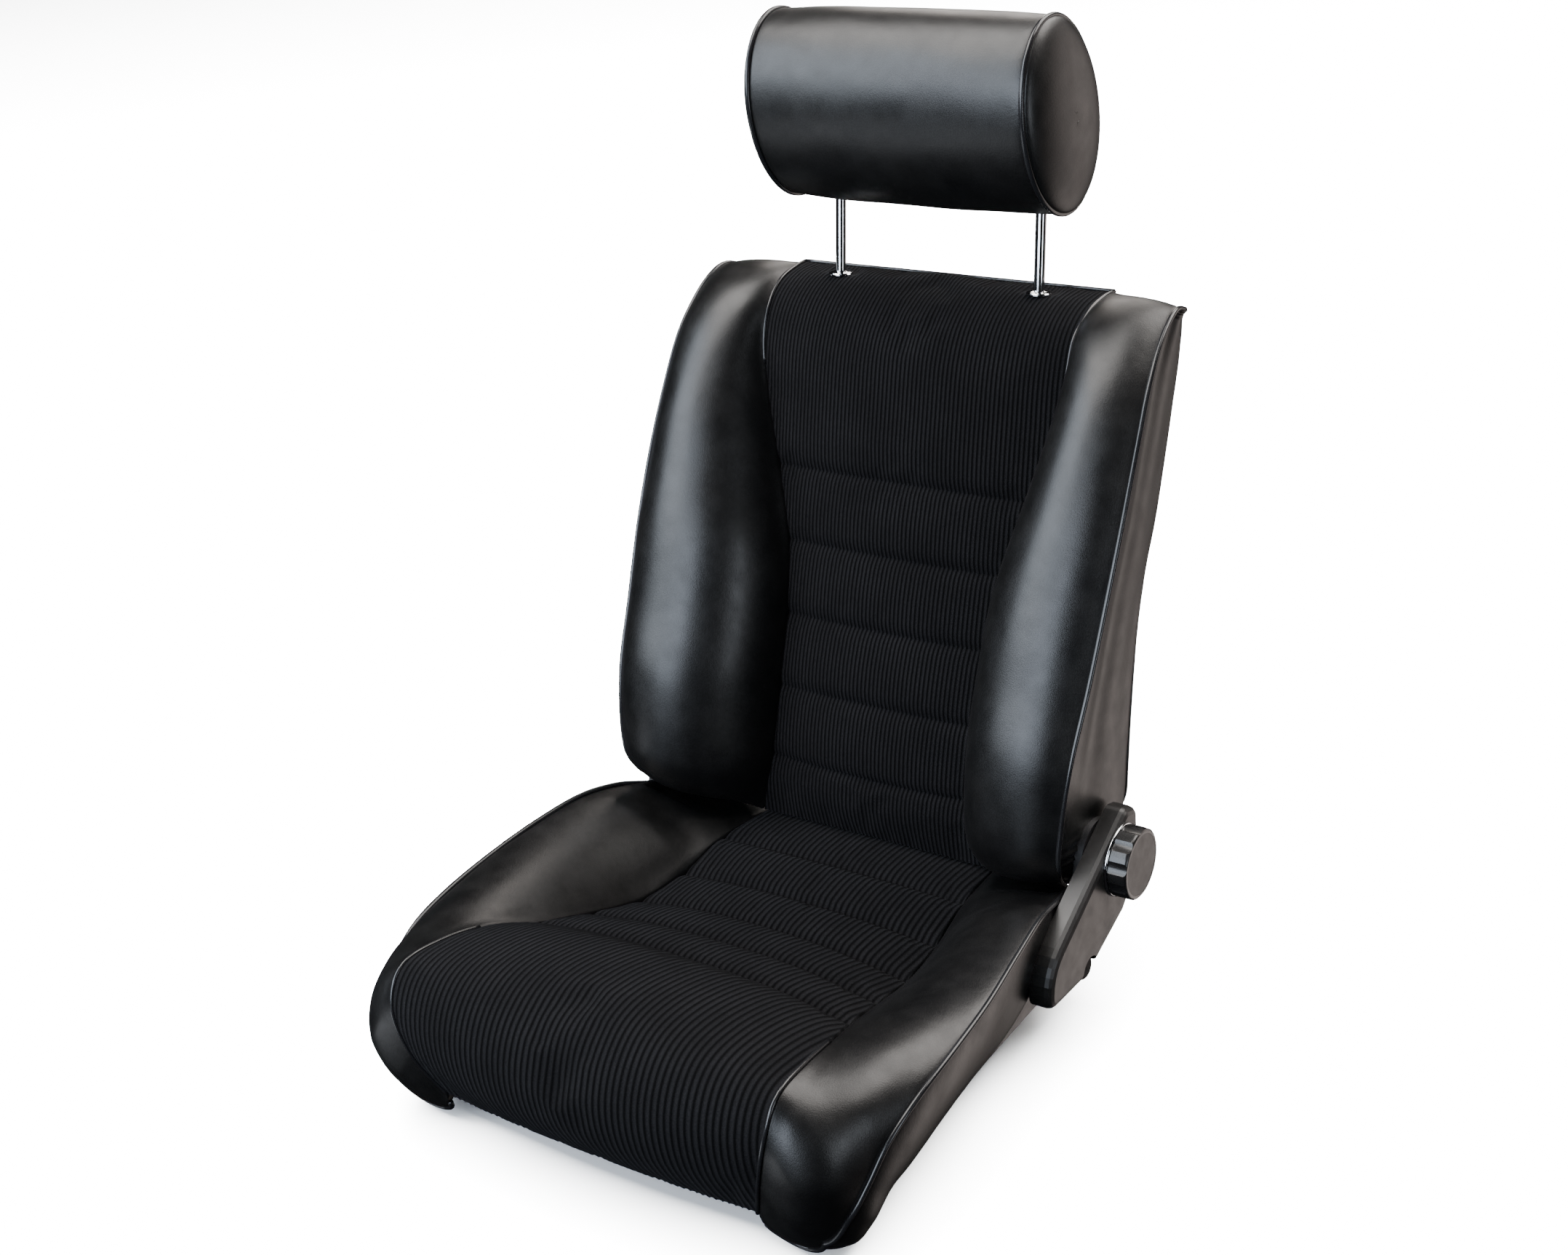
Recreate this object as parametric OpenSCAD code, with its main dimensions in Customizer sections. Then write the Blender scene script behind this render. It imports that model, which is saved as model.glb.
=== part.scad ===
// Reclining sport seat with bolstered cushion and backrest, headrest and knob recliner.
// X runs to the sitter's left, Y runs rearwards, Z up. The origin is the centre of the
// four mounting holes, on the underside of the mounting rails.

/* [Backrest] */
// Height of the backrest above the recliner axis, along its lean
back_h = 492; // [450:1:540]
// Width of the backrest over its outer seams
back_w = 502; // [460:1:540]
// Lean of the backrest from upright, in degrees
back_lean = 17; // [10:0.5:26]
// Width of the backrest insert at the shoulders
back_insert_top_w = 332; // [290:1:350]
// Width of the backrest insert at the waist
back_insert_low_w = 222; // [190:1:250]
// How far the bolsters' outer seam stands forward of the recliner axis
back_bolster_reach = 72; // [55:1:80]
// How far the bolsters swell past the line between their seams
back_bolster_swell = 30; // [10:1:40]
// Crown of the backrest insert
back_insert_crown = 10; // [0:1:16]
// Height of the lowest sewn channel above the recliner axis
back_channel_first = 15; // [8:1:22]
// Spacing of the sewn channels of the backrest
back_channel_pitch = 71; // [60:1:76]
// Depth of the rear panel's waist behind the recliner axis
back_waist_depth = 58; // [57:1:62]
// Depth of the rear panel's shoulders behind the recliner axis
back_shoulder_depth = 86; // [84:1:94]

/* [Seat cushion] */
// Width of the cushion over its outer seams
seat_w = 534; // [500:1:570]
// Distance from the mounting centre to the front of the insert
seat_front = 293; // [275:1:320]
// Width of the insert at the front roll
seat_insert_front_w = 386; // [340:1:410]
// Width of the insert at its rear channel
seat_insert_rear_w = 268; // [240:1:290]
// Height of the seam in the hollow of the seat
seat_hollow_z = 94; // [88:1:104]
// Height of the seam on the front roll
seat_roll_z = 169; // [150:1:185]
// Height of the bolsters' outer seam
seat_bolster_z = 155; // [148:1:165]
// How far the seat bolsters swell past the line between their seams
seat_bolster_swell = 14; // [4:1:20]
// Crown of the seat insert
seat_insert_crown = 14; // [0:1:20]
// Distance of the rear channel behind the mounting centre
seat_channel_first = 114; // [106:1:120]
// Spacing of the sewn channels of the seat
seat_channel_pitch = 60.5; // [54:0.5:62]
// Depth of every sewn channel
channel_depth = 7; // [2:0.5:10]

/* [Headrest] */
// Length of the headrest between its end seams
head_len = 278; // [250:1:300]
// Depth of the headrest, front to rear
head_d = 133; // [110:1:140]
// Height of the headrest
head_h = 174; // [150:1:190]
// Crown of the headrest's end panels
head_cap_crown = 17; // [6:1:26]
// Distance between the centres of the posts
post_spacing = 212; // [180:1:230]
// Diameter of the posts
post_d = 10; // [8:0.5:12]
// Lean of the posts from upright, in degrees
post_lean = 8; // [6:0.5:12]
// Length of post that shows between the backrest and the headrest
post_show = 64; // [60:1:90]
// Length of post inside the backrest
post_inside = 82; // [70:1:86]
// Outer diameter of the chromed guide rosettes
rosette_d = 24; // [20:1:30]

/* [Recliner] */
// Distance of the recliner axis behind the mounting centre
axis_y = 165; // [160:1:170]
// Height of the recliner axis above the mounting face
axis_z = 155; // [152:1:160]
// Thickness of the recliner arms
arm_t = 5; // [4:0.5:5]
// Radius of the rotating hub
hub_r = 24; // [20:0.5:26]
// Radial running clearance of the hub and the spindle
run_gap = 0.05; // [0.02:0.01:0.1]
// Wall of the fixed ring around the hub
ring_wall = 9; // [6:0.5:10]
// Diameter of the knob
knob_d = 66; // [54:1:70]
// Depth of the knob
knob_t = 18; // [14:1:24]
// Number of flutes around the knob
knob_flutes = 10; // [8:1:14]
// Depth of each flute
flute_depth = 2; // [1:0.5:3]
// Depth of the recliner covers
cover_depth = 21; // [18:1:24]
// Wall of the recliner covers
cover_wall = 2.5; // [1.5:0.5:3]
// How far the covers reach forward of the recliner axis
cover_reach = 139; // [134:1:146]
// How far the covers rise over the recliner axis
cover_rise = 42; // [38:1:46]
// How far the covers reach below the recliner axis at their rear
cover_drop = 57; // [55:1:60]

/* [Frame] */
// Outer diameter of the frame tubes
tube_d = 22; // [18:1:22]
// Wall of the frame tubes
tube_wall = 2; // [1.5:0.5:3]
// Height of the seat's side members
member_h = 40; // [30:1:40]
// Width of the side members' flanges
member_flange = 26; // [16:1:28]
// Sheet thickness of the side members
member_t = 2.5; // [1.5:0.5:3]
// Wire diameter of the springs
wire_d = 3.6; // [3:0.2:4]

/* [Mounting] */
// Spacing of the mounting holes across the seat
mount_x = 295; // [280:1:310]
// Spacing of the mounting holes along the seat
mount_y = 290; // [250:1:310]
// Diameter of the mounting holes
mount_hole_d = 8.5; // [6.5:0.5:10.5]
// Width of the mounting rails
rail_w = 36; // [30:1:40]
// Height of the mounting rails
rail_h = 14; // [12:1:20]
// Sheet thickness of the mounting rails
rail_t = 3; // [2.5:0.5:4]

/* [Hidden] */
$fn = 48;

// Clearances
soft_gap = 0.3;
seam_gap = 0.4;
assembly_gap = 0.3;

// Stations across the recliner, measured from the middle of the seat
member_x = 232;
skirt_in_x = member_x + 3.5;
arm_x = 245.5;
cover_x = arm_x + 1.5;
cover_face_x = cover_x + cover_depth;
knob_x = cover_face_x + 2.5;
upper_arm_x = 216;
side_tube_x = upper_arm_x - tube_d / 2;

// Frame levels
member_z = 50;
tube_z = member_z + member_t + tube_d / 2 + assembly_gap;
front_tube = [-seat_front + 78, tube_z];
rear_tube = [axis_y + 21, tube_z + 8];
spring_z = tube_z + 6;
foam_z = spring_z + wire_d / 2 + soft_gap;
pan_z = member_z + member_h + soft_gap;
back_low_w = 56;
back_top_w = back_h - 72;
back_foam_q = 28;
back_tube_q = back_foam_q + 2 + tube_d / 2;
back_core_top = back_h - 40;

// Interpolation and vectors
function unit(v) = v / norm(v);
function mix(a, b, t) = a + (b - a) * t;
function knots(p, i, t) =
    let (n = len(p) - 1, a = p[max(i - 1, 0)], b = p[i], c = p[i + 1], d = p[min(i + 2, n)])
    0.5 * (2 * b + (c - a) * t + (2 * a - 5 * b + 4 * c - d) * t * t
        + (3 * b - a - 3 * c + d) * t * t * t);
function along(p, s) = let (i = min(floor(s), len(p) - 2)) knots(p, i, s - i);
function bezier(a, b, c, d, t) =
    a * pow(1 - t, 3) + 3 * b * t * pow(1 - t, 2) + 3 * c * t * t * (1 - t) + d * pow(t, 3);

// A corner of a polygon replaced by an arc of radius r
function corner(a, b, c, r, steps) =
    let (u = unit(a - b), v = unit(c - b), half = acos(u * v) / 2,
        mid = b + unit(u + v) * r / sin(half),
        p = b + u * r / tan(half) - mid, q = b + v * r / tan(half) - mid,
        turn = 180 - 2 * half, side = sign(p[0] * q[1] - p[1] * q[0]))
    [for (k = [0:steps]) let (w = side * turn * k / steps)
        mid + [p[0] * cos(w) - p[1] * sin(w), p[0] * sin(w) + p[1] * cos(w)]];
// A polygon given as [x, y, corner radius], with its edges moved inwards by inset
function rounded(path, inset = 0, steps = 6) =
    let (n = len(path))
    [for (i = [0:n - 1])
        let (a = path[(i + n - 1) % n], b = path[i], c = path[(i + 1) % n],
            pa = [a[0], a[1]], pb = [b[0], b[1]], pc = [c[0], c[1]],
            u = unit(pb - pa), v = unit(pc - pb),
            na = [u[1], -u[0]], nc = [v[1], -v[0]],
            shift = (na + nc) * inset / (1 + na * nc))
        each corner(pb + shift - u, pb + shift, pb + shift + v, max(b[2] - inset, 0.5), steps)];

// A closed solid through rings of equal length. A ring is an outer row of points
// followed by an inner row run backwards, and the ends close across the two rows.
module loft(rings) {
    n = len(rings[0]);
    m = len(rings);
    k = n / 2;
    last = (m - 1) * n;
    sides = [for (i = [0:m - 2], j = [0:n - 1])
        let (a = i * n + j, b = i * n + (j + 1) % n)
        each [[a, b + n, b], [a, a + n, b + n]]];
    first_end = [for (j = [0:k - 2])
        each [[j, n - 2 - j, n - 1 - j], [j, j + 1, n - 2 - j]]];
    last_end = [for (f = first_end) [f[0] + last, f[2] + last, f[1] + last]];
    polyhedron([for (r = rings) each r], concat(sides, first_end, last_end), convexity = 8);
}

// The backrest's own axes: q rearwards and w up along its lean, from the recliner axis
module at_back() {
    translate([0, axis_y, axis_z])
        rotate([-back_lean, 0, 0])
            children();
}

// The headrest's own axes: from the middle of the rosettes, z up along the posts
rosette_q = 50;
rosette_w = back_h - 9;
module at_posts() {
    at_back()
        translate([0, rosette_q, rosette_w])
            rotate([back_lean - post_lean, 0, 0])
                children();
}

module both_sides() {
    children();
    mirror([1, 0, 0])
        children();
}

// A round bar or bore along X
module bar_x(x0, x1, r) {
    translate([x0, 0, 0])
        rotate([0, 90, 0])
            cylinder(h = x1 - x0, r = r);
}

// A plate cut from the side outline, lying from x0 to x1
module side_plate(x0, x1) {
    translate([x0, 0, 0])
        rotate([90, 0, 90])
            linear_extrude(x1 - x0)
                children();
}

// ---- Mounting rails ----

rail_front = -seat_front + 66;
rail_rear = rear_tube[0] + 16;
rail_side = [[rail_front, 0], [rail_rear, 0],
    [rail_rear, rear_tube[1]], [rail_rear - 32, rear_tube[1]],
    [rail_rear - 62, rail_h], [rail_front + 56, rail_h],
    [rail_front + 24, front_tube[1]], [rail_front, front_tube[1]]];

module mount_rail(side) {
    color("dimgray")
        difference() {
            translate([side * mount_x / 2, 0, 0])
                union() {
                    translate([-rail_w / 2, rail_front, 0])
                        cube([rail_w, rail_rear - rail_front, rail_t]);
                    side_plate(-rail_w / 2, -rail_w / 2 + rail_t)
                        polygon(rail_side);
                    side_plate(rail_w / 2 - rail_t, rail_w / 2)
                        polygon(rail_side);
                }
            for (t = [front_tube, rear_tube])
                translate([0, t[0], t[1]])
                    bar_x(-member_x, member_x, tube_d / 2);
            mount_holes(rail_t, mount_hole_d / 2);
            for (y = [-mount_y / 4, 0, mount_y / 4])
                translate([side * mount_x / 2, y, -1])
                    cylinder(h = rail_t + 2, d = 16);
        }
}

module mount_holes(h, r) {
    for (sx = [-1, 1], sy = [-1, 1])
        translate([sx * mount_x / 2, sy * mount_y / 2, -1])
            cylinder(h = h + 2, r = r);
}

module weld_nuts() {
    color("silver")
        for (sx = [-1, 1], sy = [-1, 1])
            translate([sx * mount_x / 2, sy * mount_y / 2, rail_t])
                difference() {
                    cylinder(h = 6.5, d = 15, $fn = 6);
                    translate([0, 0, -1])
                        cylinder(h = 9, d = mount_hole_d - 0.5);
                }
}

// ---- Seat frame ----

member_end = tube_d / 2 + 2;
member_front = front_tube[0] - member_end;
member_rear = rear_tube[0] + member_end;
member_taper_y = axis_y - 45;
arm_bolts_yz = [[73, 77], [102, 77], [131, 78]];
spacer_r = 7.5;

module side_member(side) {
    length = member_rear - member_front;
    color("dimgray")
        scale([side, 1, 1])
            difference() {
                translate([member_x - member_flange, member_front, member_z])
                    difference() {
                        cube([member_flange, length, member_h]);
                        translate([-1, -1, member_t])
                            cube([member_flange - member_t + 1, length + 2,
                                member_h - 2 * member_t]);
                    }
                side_plate(member_x - member_flange - 1, member_x + 1)
                    polygon([[member_taper_y, member_z - 1], [member_rear + 1, member_z - 1],
                        [member_rear + 1, member_z + 12]]);
                for (b = arm_bolts_yz)
                    translate([0, b[0], b[1]])
                        bar_x(member_x - 6, member_x + 1, 5.1);
                for (k = [0:3])
                    translate([member_x - member_flange / 2 - 1, member_front + 90 + k * 44, 0])
                        cylinder(h = member_z + member_t + 1, d = 14);
                for (k = [0:3])
                    translate([0, member_front + 50 + k * 52, member_z + member_h / 2])
                        bar_x(member_x - 6, member_x + 1, 9);
            }
}

module frame_tube(half) {
    difference() {
        bar_x(-half, half, tube_d / 2);
        bar_x(-half - 1, half + 1, tube_d / 2 - tube_wall);
    }
}

module front_cross_tube() {
    color("dimgray")
        translate([0, front_tube[0], front_tube[1]])
            frame_tube(member_x - member_t);
}

module rear_cross_tube() {
    color("dimgray")
        translate([0, rear_tube[0], rear_tube[1]])
            frame_tube(member_x - member_t);
}

// A sinuous spring in the XY plane: bends joined by straight runs, from y0 to y1
module sinuous(y0, y1, bends, reach) {
    pitch = (y1 - y0) / (bends + 1);
    r = pitch / 2;
    for (k = [0:bends - 1]) {
        way = k % 2 == 0 ? 1 : -1;
        translate([way * reach, y0 + pitch * (k + 0.5) + r, 0])
            rotate([0, 0, way > 0 ? -90 : 90])
                rotate_extrude(angle = 180)
                    translate([r, 0])
                        circle(d = wire_d, $fn = 24);
    }
    for (k = [0:bends]) {
        y = y0 + pitch * (k + 0.5);
        first = k == 0 ? 0 : -reach;
        final = k == bends ? 0 : reach;
        x0 = k == bends ? -reach : first;
        x1 = k == bends ? (bends % 2 == 0 ? 0 : reach) : final;
        start = k == bends && bends % 2 == 1 ? 0 : x0;
        translate([0, y, 0])
            bar_x(start, x1, wire_d / 2);
    }
    translate([0, y0, 0])
        end_wire(pitch / 2);
    translate([0, y1 - pitch / 2, 0])
        end_wire(pitch / 2);
}

// The straight end of a spring, with a round knee where it turns into the first run
module end_wire(length) {
    rotate([-90, 0, 0])
        cylinder(h = length, d = wire_d, $fn = 24);
    for (y = [0, length])
        translate([0, y, 0])
            sphere(d = wire_d, $fn = 24);
}

spring_x = [-96, -32, 32, 96];
spring_y0 = front_tube[0] + tube_d / 2 + 6;
spring_y1 = rear_tube[0] - tube_d / 2 - 6;

module seat_springs() {
    color("gray")
        for (x = spring_x)
            translate([x, 0, spring_z])
                sinuous(spring_y0 + 2, spring_y1 - 2, 11, 16);
}

module seat_spring_clips() {
    color("darkgray")
        for (x = spring_x)
            difference() {
                union() {
                    for (y = [front_tube[0] + 4, spring_y1 - 2])
                        translate([x - 7, y, spring_z - 7])
                            cube([14, spring_y0 + 2 - front_tube[0] - 4, 7]);
                }
                for (t = [front_tube, rear_tube])
                    translate([0, t[0], t[1]])
                        bar_x(-member_x, member_x, tube_d / 2);
                translate([x, spring_y0, spring_z])
                    rotate([-90, 0, 0])
                        cylinder(h = spring_y1 - spring_y0, d = wire_d);
                translate([x, spring_y0 + 2, spring_z])
                    sphere(d = wire_d, $fn = 24);
                translate([x, spring_y1 - 2, spring_z])
                    sphere(d = wire_d, $fn = 24);
            }
}

// ---- Seat cushion ----

// Stations run from the rear of the cushion over the front roll to its lower lip
channel_y = [for (k = [0:4]) seat_channel_first - k * seat_channel_pitch];
nose = -seat_front;
seat_rise = seat_roll_z - seat_hollow_z;
seat_mid_x = seat_insert_rear_w / 2;
seat_flare = (seat_insert_front_w - seat_insert_rear_w) / 2;
seat_seam = [
    [seat_mid_x - 8, rear_tube[0] + 15, seat_hollow_z + 2],
    [seat_mid_x, channel_y[0], seat_hollow_z + 9],
    [seat_mid_x + seat_flare * 0.09, channel_y[1], seat_hollow_z],
    [seat_mid_x + seat_flare * 0.2, channel_y[2], seat_hollow_z + 2],
    [seat_mid_x + seat_flare * 0.36, channel_y[3], seat_hollow_z + seat_rise * 0.27],
    [seat_mid_x + seat_flare * 0.56, channel_y[4], seat_hollow_z + seat_rise * 0.56],
    [seat_mid_x + seat_flare * 0.8, nose + 121, seat_hollow_z + seat_rise * 0.81],
    [seat_mid_x + seat_flare * 0.94, nose + 67, seat_roll_z - 1],
    [seat_mid_x + seat_flare, nose + 23, seat_roll_z - 1],
    [seat_mid_x + seat_flare * 0.97, nose + 2, 138],
    [seat_mid_x + seat_flare * 0.78, nose + 4, 92],
    [seat_mid_x + seat_flare * 0.49, nose + 21, 45]];
// Outer seam of the seat bolster
seat_half = seat_w / 2;
seat_outer = [
    [seat_half - 43, axis_y - 14, seat_bolster_z - 43],
    [seat_half - 29, channel_y[0] - 8, seat_bolster_z - 17],
    [seat_half - 18, channel_y[1] - 4, seat_bolster_z],
    [seat_half - 9, channel_y[2] - 5, seat_bolster_z],
    [seat_half - 2, channel_y[3] - 7, seat_bolster_z - 5],
    [seat_half, channel_y[4] - 8, seat_bolster_z - 11],
    [seat_half - 2, nose + 109, seat_bolster_z - 20],
    [seat_half - 8, nose + 71, seat_bolster_z - 39],
    [seat_half - 15, nose + 47, seat_bolster_z - 67],
    [seat_half - 24, nose + 32, 64],
    [seat_half - 45, nose + 25, 36],
    [seat_half - 87, nose + 30, 17]];
// Lower edge of the side skirt
skirt_x = arm_x - 2.5;
seat_skirt = [
    [skirt_x - 9, axis_y - 18, pan_z - 2],
    [skirt_x - 2, channel_y[0] - 10, pan_z - 3],
    [skirt_x, channel_y[1] - 2, pan_z - 5],
    [skirt_x + 2, channel_y[2] - 3, 72],
    [skirt_x + 4, channel_y[3] - 7, 70],
    [skirt_x + 5, nose + 173, 66],
    [skirt_x + 5, nose + 138, 60],
    [skirt_x + 3, nose + 113, 54],
    [skirt_x - 1, nose + 93, 48],
    [skirt_x - 9, nose + 77, 42],
    [skirt_x - 29, nose + 61, 32],
    [skirt_x - 61, nose + 47, 24]];
// Underside of the insert: flat on the springs, then hooked over the front tube
seat_under = [
    [seat_seam[0][1], rear_tube[1] + 17],
    [channel_y[0], foam_z],
    [channel_y[1], foam_z],
    [channel_y[2], foam_z],
    [channel_y[3], foam_z],
    [channel_y[4], foam_z],
    [front_tube[0] + 43, foam_z],
    [front_tube[0] + 19, front_tube[1] + 8],
    [front_tube[0], front_tube[1] + 18],
    [front_tube[0] - 17, front_tube[1] + 14],
    [front_tube[0] - 21, front_tube[1]],
    [front_tube[0] - 25, front_tube[1] - 16]];
// How far the side panel stands proud between its outer seam and its lower edge
seat_belly = [0, -1, -3, -2, 1, 2, 2, 2, 2, 2, 1, 1];
// Inner corner of the bolster above the side member: [inner x, outer x, y, z]
seat_pan = [
    [200, skirt_in_x, seat_seam[0][1], pan_z],
    [200, skirt_in_x, channel_y[0], pan_z],
    [200, skirt_in_x, channel_y[1], pan_z],
    [200, skirt_in_x, channel_y[2], pan_z],
    [200, skirt_in_x, channel_y[3], pan_z],
    [200, skirt_in_x, channel_y[4], pan_z],
    [200, skirt_in_x, nose + 121, pan_z],
    [200, skirt_in_x, member_front + 4, pan_z],
    [200, skirt_in_x - 2, member_front - 4, pan_z - 1],
    [197, skirt_in_x - 2.5, member_front - 10, pan_z - 13],
    [186, skirt_in_x - 30, member_front - 9, pan_z - 29],
    [170, skirt_in_x - 56, member_front - 10, pan_z - 43]];

// The underside at a station, held above the springs
function seat_floor(s) =
    let (v = along(seat_under, s)) [v[0], s < 7 ? max(v[1], foam_z) : v[1]];

// How deep the stitched lines draw the surface in, at distance d from a line
function tuck(d, depth, width) = depth * exp(-pow(d / width, 2));

seat_steps = [0, 0.5, 0.85, 1, 1.15, 1.5, 1.85, 2, 2.15, 2.5, 2.85, 3, 3.15, 3.5, 3.85, 4,
    4.15, 4.5, 4.85, 5, 5.15, 5.5, 6, 6.5, 7, 7.5, 8, 8.5, 9, 9.5, 10, 10.5, 11];

// Outward direction of the seat's surface at a station, in the YZ plane
function seat_normal(s) =
    let (d = along(seat_seam, min(s + 0.1, 11)) - along(seat_seam, max(s - 0.1, 0)))
    unit([0, d[2], -d[1]]);

module seat_insert() {
    columns = 8;
    rings = [for (i = [0:columns])
        let (u = -1 + 2 * i / columns, lift = 1 - pow(abs(u), 2.5))
        concat(
            [for (s = seat_steps)
                let (p = along(seat_seam, s), x = p[0] - seam_gap,
                    near = min([for (k = [1:5]) abs(s - k)]),
                    rise = seat_insert_crown * lift * min(1, s / 2.5, (11 - s) / 1.5 + 0.3)
                        - tuck(near, channel_depth * (0.5 + 0.5 * lift), 0.12))
                [u * x, p[1], p[2]] + seat_normal(s) * rise],
            [for (k = [len(seat_steps) - 1:-1:0])
                let (s = seat_steps[k], p = along(seat_seam, s), v = seat_floor(s))
                [u * (p[0] - seam_gap), v[0], v[1]]])];
    color([0.04, 0.04, 0.045])
        loft(rings);
}

module seat_bolster(side) {
    rings = [for (i = [22:-1:0])
        let (s = i / 2, a = along(seat_seam, s) + [seam_gap, 0, 0],
            b = along(seat_outer, s), k = along(seat_skirt, s),
            v = seat_floor(s), c = along(seat_pan, s),
            travel = along(seat_outer, min(s + 0.2, 11)) - along(seat_outer, max(s - 0.2, 0)),
            out = unit(cross(travel, b - a)),
            swell = seat_bolster_swell * min(1, s - 0.9),
            mid = mix(b, k, 0.5) + [along(seat_belly, s), 0, 0],
            wall_x = min(c[1], k[0] - 1.2),
            top_in = [c[0], c[2], c[3]], top_out = [wall_x, c[2], c[3]],
            foot = [wall_x, k[1] - 9 * max(0, min(1, s - 8)), k[2] + 1])
        concat(
            [a],
            [for (t = [0.12:0.19:0.9]) mix(a, b, t) + out * swell * pow(sin(180 * t), 0.7)],
            [b, mid, k],
            [foot, mix(foot, top_out, 0.5), top_out, mix(top_out, top_in, 0.5), top_in,
                [c[0], v[0], mix(c[3], v[1], 0.5)], [c[0], v[0], v[1]],
                [mix(a[0], c[0], 0.5), v[0], v[1]], [a[0], v[0], v[1]]])];
    color([0.09, 0.09, 0.095])
        scale([side, 1, 1])
            loft(rings);
}

// ---- Recliner ----

// Outline of the recliner cover seen from the side: [y, z, corner radius]
cover_toe = [axis_y - cover_reach, member_z + 26];
cover_belly = [axis_y - 67, axis_z - cover_drop - 27];
cover_heel = [axis_y + 7, axis_z - cover_drop];
cover_side = [
    [cover_toe[0], cover_toe[1], 12], [cover_toe[0] + 3, cover_toe[1] + 40, 44],
    [axis_y + 16, axis_z + cover_rise, 12],
    [axis_y + 38, axis_z + cover_rise - 7, 12], [axis_y + 39, axis_z - 25, 28],
    [cover_heel[0], cover_heel[1], 9]];
cover_outline = concat(cover_side, [[cover_belly[0], cover_belly[1], 30]]);
cap_yz = arm_bolts_yz[1];
// The arm follows the cover, with a foot through which it is bolted to the member
foot_ends = [arm_bolts_yz[0][0] - 12, arm_bolts_yz[2][0] + 13];
function cover_low(y) =
    let (end = y > cover_belly[0] ? cover_heel : cover_toe)
    mix(cover_belly[1], end[1], (y - cover_belly[0]) / (end[0] - cover_belly[0]));
foot = [
    [foot_ends[1], cover_low(foot_ends[1]), 3], [foot_ends[1], cap_yz[1] - 12, 12],
    [foot_ends[0], cap_yz[1] - 12, 12]];
arm_outline = concat(cover_side, foot, [[foot_ends[0], cover_low(foot_ends[0]), 3]]);
// The arm of the side without a knob keeps behind the bolster
plain_arm_outline = concat([
    [foot_ends[0] - 12, cap_yz[1] + 4, 8], [foot_ends[0] - 10, axis_z - 48, 12],
    [axis_y - 18, axis_z - 34, 12], [axis_y - 32, axis_z - 2, 16],
    [axis_y - 28, axis_z + 34, 20], [axis_y + 22, axis_z + 36, 20],
    [axis_y + 37, axis_z - 14, 26], [cover_heel[0], cover_heel[1], 9]], foot);
plain_cover_x = arm_x + arm_t + assembly_gap;
plain_cover_depth = 11.5;
plain_cover_outline = [
    [axis_y - 19, axis_z - 20, 12], [axis_y - 19, axis_z + 20, 12],
    [axis_y + 21, axis_z + 20, 12], [axis_y + 21, axis_z - 20, 12]];

module lower_arm(side) {
    color("dimgray")
        scale([side, 1, 1])
            difference() {
                side_plate(arm_x, arm_x + arm_t)
                    polygon(rounded(side > 0 ? arm_outline : plain_arm_outline,
                        cover_wall + 1.5));
                translate([0, axis_y, axis_z])
                    bar_x(arm_x - 1, arm_x + arm_t + 1, 8 + run_gap);
                for (b = arm_bolts_yz)
                    translate([0, b[0], b[1]])
                        bar_x(arm_x - 1, arm_x + arm_t + 1, 5.1);
                if (side > 0)
                    side_plate(arm_x - 1, arm_x + arm_t + 1)
                        polygon(rounded([[62, 95, 6], [64, 112, 6], [118, 138, 8],
                            [130, 98, 8]]));
                else
                    for (y = [74, 98, 122])
                        translate([0, y, 98])
                            bar_x(arm_x - 1, arm_x + arm_t + 1, 6);
            }
}

module arm_spacers() {
    color("silver")
        both_sides()
            for (b = arm_bolts_yz)
                translate([0, b[0], b[1]])
                    difference() {
                        bar_x(member_x, arm_x, spacer_r);
                        bar_x(member_x - 1, arm_x + 1, 5.1);
                    }
}

module arm_bolts() {
    color("silver")
        both_sides()
            for (b = arm_bolts_yz)
                translate([0, b[0], b[1]]) {
                    bar_x(member_x - 8, arm_x + arm_t + 1, 5);
                    translate([arm_x + arm_t, 0, 0])
                        rotate([0, 90, 0])
                            cylinder(h = 5, d = 17, $fn = 6);
                    translate([member_x - member_t - 7, 0, 0])
                        rotate([0, 90, 0])
                            cylinder(h = 7, d = 17, $fn = 6);
                }
}

// Black push-on cap over the bolt that lies in the notch of the cover
module bolt_caps() {
    r = 12;
    x0 = arm_x + arm_t;
    color([0.03, 0.03, 0.03])
        both_sides()
            translate([0, cap_yz[0], cap_yz[1]])
                difference() {
                    rotate([0, 90, 0])
                        rotate_extrude()
                            polygon([[0, x0 + 0.3], [r, x0 + 0.3], [r, x0 + 9],
                                for (a = [15:15:75]) [r - 5 + 5 * cos(a), x0 + 9 + 5 * sin(a)],
                                [0, x0 + 14]]);
                    bar_x(x0 - 1, x0 + 6, 9);
                }
}

module recliner_ring(side) {
    color("dimgray")
        scale([side, 1, 1])
            translate([0, axis_y, axis_z])
                difference() {
                    bar_x(upper_arm_x + arm_t + 2, arm_x, hub_r + ring_wall);
                    bar_x(upper_arm_x, arm_x + 1, hub_r + run_gap);
                }
}

module recliner_hub(side) {
    color("silver")
        scale([side, 1, 1])
            at_back()
                difference() {
                    union() {
                        bar_x(upper_arm_x + arm_t, arm_x - 2, hub_r);
                        bar_x(upper_arm_x - 3, upper_arm_x + arm_t, 14);
                    }
                    bar_x(upper_arm_x - 4, arm_x + 1, 8 + run_gap);
                }
}

// Outline of the upper arm from the side: [q, w, corner radius]
upper_arm_outline = [[-30, -30, 24], [-30, 34, 18], [back_tube_q - 12, 150, 8],
    [back_tube_q + 11, 150, 8], [back_tube_q + 11, 20, 26], [28, -30, 24]];

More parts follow.
